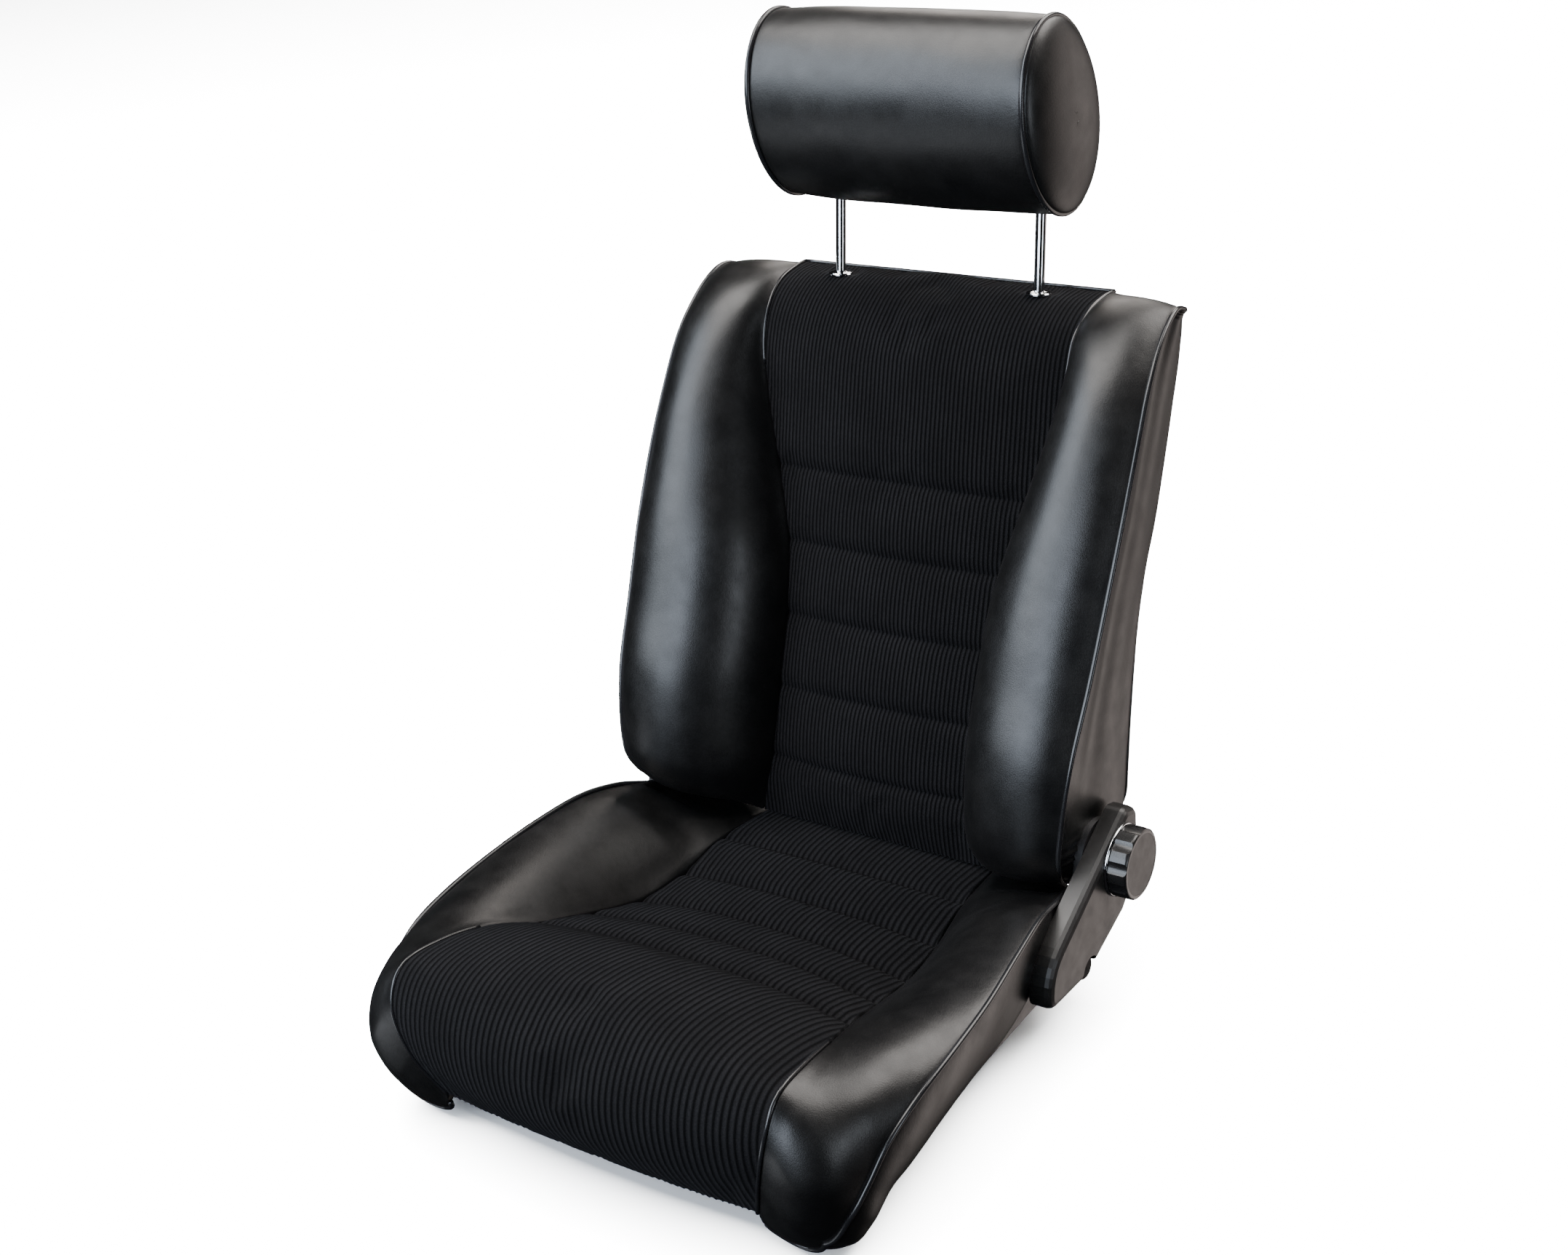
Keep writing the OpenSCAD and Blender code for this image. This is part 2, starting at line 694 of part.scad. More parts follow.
module upper_arm(side) {
    color("dimgray")
        scale([side, 1, 1])
            at_back()
                difference() {
                    side_plate(upper_arm_x, upper_arm_x + arm_t)
                        polygon(rounded(upper_arm_outline));
                    bar_x(upper_arm_x - 1, upper_arm_x + arm_t + 1, 14);
                    for (w = [70, 130])
                        translate([0, back_tube_q, w])
                            bar_x(upper_arm_x - 1, upper_arm_x + arm_t + 1, 5);
                }
}

// Shoulder bolt that carries the backrest on the side without a knob
module pivot_bolt() {
    color("silver")
        translate([0, axis_y, axis_z])
            mirror([1, 0, 0]) {
                bar_x(upper_arm_x, arm_x + arm_t, 8);
                translate([arm_x + arm_t, 0, 0])
                    rotate([0, 90, 0])
                        cylinder(h = 6, d = 24, $fn = 6);
            }
}

module drive_cam() {
    color("silver")
        translate([0, axis_y, axis_z])
            difference() {
                bar_x(upper_arm_x, arm_x + arm_t, 8);
                bar_x(upper_arm_x - 1, arm_x + arm_t + 1, 4 + run_gap);
            }
}

module knob_spindle() {
    color("silver")
        translate([0, axis_y, axis_z])
            difference() {
                bar_x(upper_arm_x - 4, knob_x + knob_t - 4, 4);
                translate([knob_x, 3, -6])
                    cube([knob_t, 6, 12]);
            }
}

// The knob: a fluted rim with a recessed face, and a boss that passes the cover
module recliner_knob() {
    r = knob_d / 2;
    fr = 11;
    color([0.02, 0.02, 0.02])
        translate([0, axis_y, axis_z])
            difference() {
                union() {
                    translate([knob_x, 0, 0])
                        rotate([0, 90, 0])
                            rotate_extrude()
                                polygon([[0, 0], [r - 1, 0], [r, 1], [r, knob_t - 3],
                                    for (a = [15:15:75])
                                        [r - 3 + 3 * cos(a), knob_t - 3 + 3 * sin(a)],
                                    [r - 3, knob_t], [0, knob_t]]);
                    bar_x(arm_x + arm_t + 1, knob_x, 7.5);
                }
                for (k = [0:knob_flutes - 1])
                    rotate([360 * (k + 0.5) / knob_flutes, 0, 0])
                        translate([0, r + fr - flute_depth, 0])
                            bar_x(knob_x - 1, knob_x + knob_t + 1, fr);
                bar_x(arm_x, knob_x + knob_t - 4 + assembly_gap, 4 + run_gap);
                bar_x(knob_x + knob_t - 1.2, knob_x + knob_t + 1, r - 4.5);
            }
}

module knob_disc() {
    color([0.1, 0.1, 0.1])
        translate([0, axis_y, axis_z])
            bar_x(knob_x + knob_t - 1.2, knob_x + knob_t - 0.2, knob_d / 2 - 4.6);
}

// A slice of a cover's outline, inset from its edge
module cover_slice(outline, x0, x1, inset) {
    side_plate(x0, x1)
        polygon(rounded(outline, inset, 5));
}

// A moulded shell with a rounded rim, open towards the arm
module cover_shell(outline, x0, x1) {
    difference() {
        hull() {
            cover_slice(outline, x0, x1 - 7, 0);
            cover_slice(outline, x0, x1 - 3.5, 1);
            cover_slice(outline, x0, x1 - 1.2, 3.2);
            cover_slice(outline, x0, x1, 6.5);
        }
        hull() {
            cover_slice(outline, x0 - 1, x1 - cover_wall - 6, cover_wall);
            cover_slice(outline, x0 - 1, x1 - cover_wall, cover_wall + 6);
        }
    }
}

// Cover of the knob's side, with the notch for the bolt cap
module recliner_cover_left() {
    color([0.14, 0.135, 0.13])
        difference() {
            cover_shell(cover_outline, cover_x, cover_face_x);
            side_plate(cover_x - 1, arm_x + arm_t + 0.5)
                polygon(rounded(arm_outline, cover_wall + 1));
            for (b = arm_bolts_yz)
                translate([0, b[0], b[1]])
                    bar_x(cover_x - 1, arm_x + arm_t + 5.5, 9.5);
            translate([0, cap_yz[0], cap_yz[1] - 2])
                bar_x(cover_x - 1, cover_face_x + 1, 14);
            translate([cover_x - 1, cap_yz[0] - 14, cap_yz[1] - 20])
                cube([cover_depth + 2, 28, 18]);
            translate([0, axis_y, axis_z])
                bar_x(cover_x, cover_face_x + 1, 9);
        }
}

// Small cover over the pivot bolt of the other side
module recliner_cover_right() {
    color([0.14, 0.135, 0.13])
        mirror([1, 0, 0])
            cover_shell(plain_cover_outline, plain_cover_x, plain_cover_x + plain_cover_depth);
}

// ---- Backrest ----

channel_w = [for (k = [0:4]) back_channel_first + k * back_channel_pitch];
insert_low = back_insert_low_w / 2;
insert_top = back_insert_top_w / 2;
insert_flare = insert_top - insert_low;
// Seam of the backrest insert from its lower lip over the top: [x, q, w]
back_seam = [
    [insert_low + 14, 20, channel_w[0] - 61],
    [insert_low + 8, 12, channel_w[0] - 32],
    [insert_low + 3, 10, channel_w[0]],
    [insert_low, 8, channel_w[1]],
    [insert_low + 1, 12, channel_w[2]],
    [insert_low + insert_flare * 0.13, 14, channel_w[3]],
    [insert_low + insert_flare * 0.46, 14, channel_w[4]],
    [insert_low + insert_flare * 0.75, 12, back_h - 132],
    [insert_top - 5, 10, back_h - 80],
    [insert_top - 4, 15, back_h - 44],
    [insert_top - 2, 34, back_h - 20],
    [insert_top - 1, 62, back_h - 6],
    [insert_top, 80, back_h - 1]];
// Outer seam of the bolsters
back_half = back_w / 2;
reach = back_bolster_reach;
back_outer = [
    [back_half - 29, 24 - reach * 0.45, channel_w[0] - 43],
    [back_half - 18, 4 - reach * 0.68, channel_w[0] - 32],
    [back_half - 13, 6 - reach, channel_w[0]],
    [back_half - 8, -reach, channel_w[1]],
    [back_half - 4, 11 - reach, channel_w[2]],
    [back_half - 1, 22 - reach, channel_w[3] + 4],
    [back_half, 35 - reach, channel_w[4] + 3],
    [back_half - 1, 50 - reach, back_h - 126],
    [back_half - 3, 64 - reach, back_h - 78],
    [back_half - 6, 82 - reach, back_h - 44],
    [back_half - 8, 101 - reach, back_h - 22],
    [back_half - 10, 49, back_h - 10],
    [back_half - 13, 72, back_h - 10]];
// Rear panel, seen from the side: [q, w]
panel_t = 3;
panel_line = [
    [77, 18], [72, 52], [65, 104], [back_waist_depth + 2, 157], [back_waist_depth, 200],
    [back_waist_depth + 4, 250], [mix(back_waist_depth, back_shoulder_depth, 0.5), 295],
    [back_shoulder_depth - 8, 345], [back_shoulder_depth - 3, back_h - 92],
    [back_shoulder_depth, back_h - 52], [back_shoulder_depth - 3, back_h - 24],
    [back_shoulder_depth - 5, back_h - 13]];
// Rear edge of the side panel
edge_x = back_half - 14;
back_edge = [
    [edge_x - 7, -6, channel_w[0] - 31],
    [edge_x - 3, 22, channel_w[0] - 24],
    [edge_x - 1, 68, channel_w[0] + 9],
    [edge_x, 63, channel_w[1]],
    [edge_x, back_waist_depth - 2, channel_w[2]],
    [edge_x, back_waist_depth - 2, channel_w[3] + 2],
    [edge_x, mix(back_waist_depth, back_shoulder_depth, 0.5) - 5, channel_w[4] + 3],
    [edge_x - 1, back_shoulder_depth - 11, back_h - 126],
    [edge_x - 1, back_shoulder_depth - 7, back_h - 78],
    [edge_x - 1, back_shoulder_depth - 6, back_h - 48],
    [edge_x - 1, back_shoulder_depth - 12, back_h - 29],
    [edge_x - 2, back_shoulder_depth - 16, back_h - 20],
    [edge_x - 3, back_shoulder_depth - 14, back_h - 14]];
// Rear side of the foam: [q, w]
back_under = [
    [back_foam_q, channel_w[0] - 58], [back_foam_q, channel_w[0] - 32],
    [back_foam_q, channel_w[0]],
    [back_foam_q, channel_w[1]], [back_foam_q, channel_w[2]], [back_foam_q, channel_w[3]],
    [back_foam_q, channel_w[4]], [back_foam_q, back_h - 132], [back_foam_q, back_h - 80],
    [back_foam_q, back_core_top - 6], [back_foam_q + 4, back_core_top],
    [back_foam_q + 26, back_core_top + 2], [back_shoulder_depth - 14, back_core_top + 18]];
// Direction in which the bolsters swell, in degrees up from straight forward
swell_turn = [-70, -38, -12, -2, 0, 0, 2, 6, 14, 34, 58, 76, 84];
swell_size = [0.15, 0.45, 0.8, 0.95, 1, 1, 0.95, 0.85, 0.7, 0.5, 0.32, 0.22, 0.15];

back_steps = [0, 0.5, 1, 1.5, 1.75, 2, 2.15, 2.5, 2.85, 3, 3.15, 3.5, 3.85, 4, 4.15, 4.5,
    4.85, 5, 5.15, 5.5, 5.85, 6, 6.15, 6.5, 7, 7.5, 8, 8.5, 9, 9.5, 10, 10.5, 11, 11.5, 12];

function forward(turn) = [0, -cos(turn), sin(turn)];

module back_insert() {
    columns = 8;
    rings = [for (i = [columns:-1:0])
        let (u = -1 + 2 * i / columns, lift = 1 - pow(abs(u), 2.5))
        concat(
            [for (s = back_steps)
                let (p = along(back_seam, s),
                    near = min([for (k = [2:6]) abs(s - k)]),
                    rise = back_insert_crown * lift * min(1, s / 1.5, (12 - s) / 4)
                        - tuck(near, channel_depth * (0.5 + 0.5 * lift), 0.12))
                [u * (p[0] - seam_gap), p[1], p[2]] + forward(along(swell_turn, s)) * rise],
            [for (k = [len(back_steps) - 1:-1:0])
                let (s = back_steps[k], p = along(back_seam, s), v = along(back_under, s))
                [u * (p[0] - seam_gap), v[0], v[1]]])];
    color([0.04, 0.04, 0.045])
        at_back()
            difference() {
                loft(rings);
                both_sides()
                    union() {
                        post_way(guide_r + soft_gap, 120);
                        rosette_seat();
                    }
            }
}

skin_t = 8;
pocket_top = 38;
module back_bolster(side) {
    rings = [for (i = [0:24])
        let (s = i / 2, a = along(back_seam, s) + [seam_gap, 0, 0],
            b = along(back_outer, s), e = along(back_edge, s), v = along(back_under, s),
            size = along(swell_size, s) * back_bolster_swell * 1.45,
            out = forward(along(swell_turn, s)) * size,
            c1 = mix(a, [a[0], b[1], b[2]], 0.8) + [(b[0] - a[0]) * 0.1, 0, 0] + out,
            c2 = b - [(b[0] - a[0]) * 0.28, 0, 0] + out,
            pocket_w = pocket_top + 9 * s,
            inner_w = max(v[1], pocket_w),
            wall_x = e[0] - skin_t,
            rear_in = [wall_x, max(e[1] - 1, v[0] + min(1, 12 - s)),
                max(min(e[2], v[1]), pocket_w)])
        concat(
            [for (k = [0:8]) bezier(a, c1, c2, b, k / 8)],
            [mix(b, e, 0.35) + [2, 0, 0], mix(b, e, 0.7) + [2, 0, 0], e],
            [rear_in, mix(rear_in, [wall_x - 0.6, v[0], inner_w], 0.5),
                [wall_x - 0.6, v[0], inner_w],
                for (k = [0:8])
                    [mix(wall_x - 1.4, a[0], k / 8), v[0],
                        mix(inner_w, v[1], min(1, k / 3))]])];
    color([0.09, 0.09, 0.095])
        scale([side, 1, 1])
            at_back()
                difference() {
                    loft(rings);
                    side_plate(upper_arm_x - 1, upper_arm_x + arm_t + 1)
                        polygon(rounded([for (p = upper_arm_outline) [p[0], p[1], 0]], -1, 1));
                    side_plate(upper_arm_x - 8, arm_x)
                        circle(r = hub_r + ring_wall + 2, $fn = 12);
                }
}

module back_panel() {
    line = [for (i = [0:33]) along(panel_line, i / 3)];
    inner = [for (i = [33:-1:0]) along(panel_line, i / 3) - [panel_t, 0]];
    half = edge_x;
    low = panel_line[0][1];
    high = panel_line[11][1];
    color([0.09, 0.09, 0.095])
        at_back()
            intersection() {
                side_plate(-half, half)
                    polygon(concat(line, inner));
                translate([0, 200, 0])
                    rotate([90, 0, 0])
                        linear_extrude(400)
                            polygon(rounded([[-half, low - 1, 26], [-half + 4, high + 1, 30],
                                [half - 4, high + 1, 30], [half, low - 1, 26]]));
            }
}

module back_tube(side) {
    color("dimgray")
        scale([side, 1, 1])
            at_back()
                translate([side_tube_x, back_tube_q, 0])
                    difference() {
                        translate([0, 0, back_low_w - 12])
                            cylinder(h = back_top_w - back_low_w + 12, d = tube_d);
                        cylinder(h = back_h, d = tube_d - 2 * tube_wall);
                        translate([0, 0, back_top_w])
                            bar_x(-40, 40, tube_d / 2);
                    }
}

module back_top_tube() {
    color("dimgray")
        at_back()
            translate([0, back_tube_q, back_top_w])
                frame_tube(side_tube_x + tube_d / 2);
}

module back_low_tube() {
    color("dimgray")
        at_back()
            translate([0, back_tube_q, back_low_w])
                frame_tube(side_tube_x - tube_d / 2 - 0.1);
}

back_spring_w = [100, 180, 260, 340];

module back_springs() {
    spring_q = back_foam_q + wire_d / 2 + soft_gap;
    reach_x = floor(side_tube_x
        - sqrt(pow((tube_d + wire_d) / 2, 2) - pow(back_tube_q - spring_q, 2)));
    color("gray")
        at_back()
            for (w = back_spring_w)
                translate([0, spring_q, w])
                    rotate([90, 90, 0])
                        sinuous(-reach_x, reach_x, 11, 12);
}

// ---- Headrest ----

guide_r = post_d / 2 + 2;

// The way of the left post through the backrest, in the backrest's axes
module post_way(r, length) {
    translate([post_spacing / 2, rosette_q, rosette_w])
        rotate([back_lean - post_lean, 0, 0])
            translate([0, 0, -length])
                cylinder(h = length + 30, r = r);
}

// The recess that the cushion forms under a rosette
module rosette_seat() {
    translate([post_spacing / 2, rosette_q, rosette_w])
        rotate([back_lean - post_lean, 0, 0])
            translate([0, 0, -soft_gap])
                cylinder(h = 20, d = rosette_d + 2 * soft_gap);
}

module headrest_guides() {
    guide_len = post_inside - 7;
    color([0.05, 0.05, 0.05])
        at_posts()
            both_sides()
                translate([post_spacing / 2, 0, -guide_len])
                    difference() {
                        union() {
                            cylinder(h = guide_len, r = guide_r);
                            translate([-9, -13, 4])
                                cube([18, 13, 16]);
                        }
                        translate([0, 0, -1])
                            cylinder(h = guide_len + 2, r = post_d / 2 + run_gap);
                        translate([-post_spacing / 2, 0, guide_len])
                            rotate([post_lean - back_lean, 0, 0])
                                translate([0, back_tube_q - rosette_q, back_top_w - rosette_w])
                                    bar_x(-40, 200, tube_d / 2);
                    }
}

module headrest_rosettes() {
    r = rosette_d / 2;
    color("silver")
        at_posts()
            both_sides()
                translate([post_spacing / 2, 0, 0])
                    difference() {
                        rotate_extrude()
                            polygon([[0, 0], [r, 0], [r, 1], [r - 0.8, 2.2], [r - 3, 3],
                                [guide_r - 1, 3.6], [0, 3.6]]);
                        translate([0, 0, -1])
                            cylinder(h = 6, r = post_d / 2 + run_gap);
                    }
}

post_top = post_show + 74;
bar_z = post_top - post_d / 2;

module headrest_post(side) {
    color("silver")
        at_posts()
            translate([side * post_spacing / 2, 0, -post_inside])
                difference() {
                    union() {
                        cylinder(h = post_inside + post_top - post_d, d = post_d);
                        sphere(d = post_d);
                    }
                    for (k = [0:3])
                        translate([-post_d / 2, post_d / 2 - 0.8, 14 + k * 15])
                            cube([post_d, 2, 3]);
                }
}

module headrest_crossbar() {
    half = post_spacing / 2 + post_d / 2;
    color("silver")
        at_posts()
            translate([0, 0, bar_z])
                bar_x(-half, half, post_d / 2);
}

// Side outline of the headrest at angle a, in its own axes
head_centre = [-12, post_show + 101];
head_shear = -0.14;
function head_point(a, dy, dz) =
    [dy * cos(a) + head_shear * dz * sin(a), dz * sin(a)];
head_sides = 32;

// One closed row across the headrest: outer row over the top, inner row below
function head_ring(x, grow, depth) =
    [for (k = [0:head_sides - 1])
        let (a = k < head_sides / 2 ? 180 * k / (head_sides / 2 - 1)
                : 180 + 180 * (k - head_sides / 2 + 0.5) / (head_sides / 2),
            p = head_point(a, (head_d / 2 + grow) * depth, (head_h / 2 + grow) * depth))
        [x, p[0] + head_centre[0], p[1] + head_centre[1]]];

module headrest_cushion() {
    half = head_len / 2;
    rings = [for (i = [0:10])
        let (u = -1 + i / 5)
        head_ring(u * half, 3 * (1 - pow(abs(u), 4)), 1)];
    color([0.09, 0.09, 0.095])
        at_posts()
            rotate([post_lean, 0, 0])
                difference() {
                    loft(rings);
                    rotate([-post_lean, 0, 0])
                        union() {
                            both_sides()
                                translate([post_spacing / 2, 0, 0])
                                    cylinder(h = post_top - post_d, r = post_d / 2 + soft_gap);
                            translate([0, 0, bar_z])
                                bar_x(-post_spacing / 2 - post_d, post_spacing / 2 + post_d,
                                    post_d / 2 + soft_gap);
                        }
                }
}

module headrest_cap(side) {
    half = head_len / 2 + soft_gap;
    rings = [for (t = [0, 20, 42, 64, 80])
        head_ring(half + head_cap_crown * sin(t), 0, 0.03 + 0.97 * cos(t))];
    color([0.09, 0.09, 0.095])
        at_posts()
            rotate([post_lean, 0, 0])
                scale([side, 1, 1])
                    loft(rings);
}

mount_rail(1);  // mount_rail_left
mount_rail(-1);  // mount_rail_right
weld_nuts();
side_member(1);  // side_member_left
side_member(-1);  // side_member_right
front_cross_tube();
rear_cross_tube();
seat_springs();
seat_spring_clips();
seat_insert();
seat_bolster(1);  // seat_bolster_left
seat_bolster(-1);  // seat_bolster_right
lower_arm(1);  // lower_arm_left
lower_arm(-1);  // lower_arm_right
arm_spacers();
arm_bolts();
bolt_caps();
recliner_ring(1);  // recliner_ring_left
recliner_ring(-1);  // recliner_ring_right
pivot_bolt();
recliner_cover_left();
recliner_cover_right();
back_tube(1);  // back_tube_left
back_tube(-1);  // back_tube_right
back_top_tube();
back_low_tube();
back_springs();
upper_arm(1);  // upper_arm_left
upper_arm(-1);  // upper_arm_right
recliner_hub(1);  // recliner_hub_left
recliner_hub(-1);  // recliner_hub_right
back_insert();
back_bolster(1);  // back_bolster_left
back_bolster(-1);  // back_bolster_right
back_panel();
headrest_guides();
headrest_rosettes();
headrest_post(1);  // headrest_post_left
headrest_post(-1);  // headrest_post_right
headrest_crossbar();
headrest_cushion();
headrest_cap(1);  // headrest_cap_left
headrest_cap(-1);  // headrest_cap_right
recliner_knob();
knob_disc();
knob_spindle();
drive_cam();
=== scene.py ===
import math
import bpy
import bmesh
import numpy as np
from mathutils import Matrix, Vector, noise


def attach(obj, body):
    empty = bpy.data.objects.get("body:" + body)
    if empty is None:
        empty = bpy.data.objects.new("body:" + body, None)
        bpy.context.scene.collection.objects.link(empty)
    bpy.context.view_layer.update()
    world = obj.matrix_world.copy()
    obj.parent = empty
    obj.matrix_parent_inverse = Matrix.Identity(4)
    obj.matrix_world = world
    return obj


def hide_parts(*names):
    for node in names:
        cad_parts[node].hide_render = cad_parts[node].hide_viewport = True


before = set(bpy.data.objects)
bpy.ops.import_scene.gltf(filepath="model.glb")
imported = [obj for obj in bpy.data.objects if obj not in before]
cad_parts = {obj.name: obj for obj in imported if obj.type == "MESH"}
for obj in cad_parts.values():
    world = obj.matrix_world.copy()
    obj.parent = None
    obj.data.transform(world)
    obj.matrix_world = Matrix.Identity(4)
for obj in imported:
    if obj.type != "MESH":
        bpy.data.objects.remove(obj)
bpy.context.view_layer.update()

# Tables are in millimetres in the seat's own frame, meshes are in metres
toMetres = 0.001
weldWithin = 0.00002  # metres
bothSides = ((1, "Left"), (-1, "Right"))
scene = bpy.context.scene


# Smooth line through a table of points, s counts the points
def along(table, s):
    points = np.array(table, float)
    last = len(points) - 1
    s = np.asarray(s, float)
    i = np.clip(np.floor(s).astype(int), 0, last - 1)
    t = (s - i)[..., None]
    a, b = points[np.maximum(i - 1, 0)], points[i]
    c, d = points[i + 1], points[np.minimum(i + 2, last)]
    return 0.5 * (2 * b + (c - a) * t + (2 * a - 5 * b + 4 * c - d) * t * t
                  + (3 * b - a - 3 * c + d) * t ** 3)


def mix(a, b, t):
    return a + (b - a) * t


def unit(v):
    return v / np.maximum(np.linalg.norm(v, axis=-1, keepdims=True), 1e-9)


# Outward direction of a sheet of points, rows by columns
def sheetNormals(sheet, flip=1):
    return unit(np.cross(np.gradient(sheet, axis=1), np.gradient(sheet, axis=0))) * flip


# Slow unevenness of stuffed vinyl, in mm; each seed reads another part of the noise
def unevenness(sheet, size, height, seed):
    shift = Vector((seed * 13.1, seed * 7.7, seed * 3.3))
    found = [noise.noise(Vector(p) / size + shift) for p in sheet.reshape(-1, 3)]
    return np.array(found).reshape(sheet.shape[:-1]) * height


backAxis = (165.0, 155.0)  # recliner axis: y, z
backLean = math.radians(17)


# From the backrest's own axes (x, q rearwards, w up its lean) to the seat's frame
def backToSeat(p):
    c, n = math.cos(backLean), math.sin(backLean)
    q, w = p[..., 1], p[..., 2]
    return np.stack([p[..., 0], backAxis[0] + q * c + w * n, backAxis[1] - q * n + w * c], -1)


# Finishes a mesh: doubles merged, normals outwards, smooth shading, slot, body
def keepPiece(name, shape, body, finish):
    bmesh.ops.remove_doubles(shape, verts=shape.verts, dist=weldWithin)
    bmesh.ops.dissolve_degenerate(shape, dist=weldWithin / 4, edges=shape.edges)
    bmesh.ops.recalc_face_normals(shape, faces=shape.faces)
    for face in shape.faces:
        face.smooth = True
    mesh = bpy.data.meshes.new(name)
    shape.to_mesh(mesh)
    shape.free()
    piece = bpy.data.objects.new(name, mesh)
    scene.collection.objects.link(piece)
    mesh.materials.append(finish)
    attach(piece, body)
    return piece


# A grid whose points take the places in a sheet; a value per point is kept for the material
def gridShape(sheet, values=None, mirrored=False, layerName="seamNear"):
    rows, columns = sheet.shape[:2]
    shape = bmesh.new()
    bmesh.ops.create_grid(shape, x_segments=columns - 1, y_segments=rows - 1, size=1)
    layer = shape.verts.layers.float.new(layerName)
    side = -1 if mirrored else 1
    for v in shape.verts:
        j = round((v.co.x + 1) / 2 * (columns - 1))
        i = round((v.co.y + 1) / 2 * (rows - 1))
        p = sheet[i, j] * toMetres
        if values is not None:
            v[layer] = float(values[i, j])
        v.co = (side * p[0], p[1], p[2])
    return shape


# Closes the open rims of a welded grid
def closeRims(shape):
    bmesh.ops.remove_doubles(shape, verts=shape.verts, dist=weldWithin)
    rims = [e for e in shape.edges if e.is_boundary]
    made = bmesh.ops.holes_fill(shape, edges=rims, sides=0)
    bmesh.ops.triangulate(shape, faces=made["faces"])


def softened(piece):
    finer = piece.modifiers.new("softened", "SUBSURF")
    finer.levels = finer.render_levels = 1
    return piece


# Round piping along points in mm
def pipe(name, points, radius, body, closed=False):
    curve = bpy.data.curves.new(name, "CURVE")
    curve.dimensions = "3D"
    curve.bevel_depth = radius * toMetres
    curve.bevel_resolution = 3
    curve.use_fill_caps = not closed
    line = curve.splines.new("POLY")
    line.points.add(len(points) - 1)
    for target, p in zip(line.points, points):
        target.co = (*(np.array(p) * toMetres), 1)
    line.use_cyclic_u = closed
    carrier = bpy.data.objects.new(name + "Curve", curve)
    scene.collection.objects.link(carrier)
    mesh = bpy.data.meshes.new_from_object(carrier.evaluated_get(
        bpy.context.evaluated_depsgraph_get()))
    bpy.data.objects.remove(carrier)
    shape = bmesh.new()
    shape.from_mesh(mesh)
    mesh.materials.clear()
    return keepPiece(name, shape, body, finishes["piping"])


# Points at even steps along a line, in mm
def evenly(points, step):
    run = np.r_[0, np.cumsum(np.linalg.norm(np.diff(points, axis=0), axis=1))]
    at = np.linspace(0, run[-1], max(3, int(run[-1] / step)))
    return np.stack([np.interp(at, run, points[:, k]) for k in range(3)], -1)


puffing = {"frames": 16, "slack": 0.003, "mass": 0.2, "stretch": 25, "bend": 4}


# Air pressure in a sheet of cloth that is held at its seams: how far each point moves, in mm
def puff(sheet, held, pressure, cap):
    shape = gridShape(sheet)
    mesh = bpy.data.meshes.new("puffSheet")
    bmesh.ops.reverse_faces(shape, faces=shape.faces)
    shape.verts.ensure_lookup_table()
    shape.to_mesh(mesh)
    shape.free()
    sheetObject = bpy.data.objects.new("puffSheet", mesh)
    scene.collection.objects.link(sheetObject)
    rows, columns = sheet.shape[:2]
    group = sheetObject.vertex_groups.new(name="held")
    group.add([int(k) for k in np.flatnonzero(held.reshape(-1))], 1.0, "REPLACE")
    cloth = sheetObject.modifiers.new("cloth", "CLOTH")
    cloth.settings.vertex_group_mass = "held"
    cloth.settings.use_pressure = True
    cloth.settings.uniform_pressure_force = pressure
    cloth.settings.shrink_min = -puffing["slack"]
    cloth.settings.mass = puffing["mass"]
    cloth.settings.tension_stiffness = puffing["stretch"]
    cloth.settings.compression_stiffness = puffing["stretch"]
    cloth.settings.bending_stiffness = puffing["bend"]
    cloth.settings.effector_weights.gravity = 0
    cloth.collision_settings.use_collision = False
    cloth.point_cache.frame_start, cloth.point_cache.frame_end = 1, puffing["frames"]
    for step in range(1, puffing["frames"] + 1):
        scene.frame_set(step)
    puffed = sheetObject.evaluated_get(bpy.context.evaluated_depsgraph_get()).data
    moved = np.empty(len(puffed.vertices) * 3)
    puffed.vertices.foreach_get("co", moved)
    moved = moved.reshape(rows, columns, 3) / toMetres - sheet
    scene.frame_set(1)
    bpy.data.objects.remove(sheetObject)
    bpy.data.meshes.remove(mesh)
    far = np.linalg.norm(moved, axis=-1, keepdims=True)
    return moved * np.minimum(1, cap / np.maximum(far, 1e-6))


# Reads a coarse sheet of moves at the rows and columns of a finer one
def spread(moves, rowsAt, columnsAt, rows, columns):
    out = np.empty((len(rows), columns.shape[1], 3))
    for k in range(3):
        byRow = np.stack([np.interp(rows, rowsAt, moves[:, j, k])
                          for j in range(moves.shape[1])], 1)
        for i in range(len(rows)):
            out[i, :, k] = np.interp(columns[i], columnsAt, byRow[i])
    return out


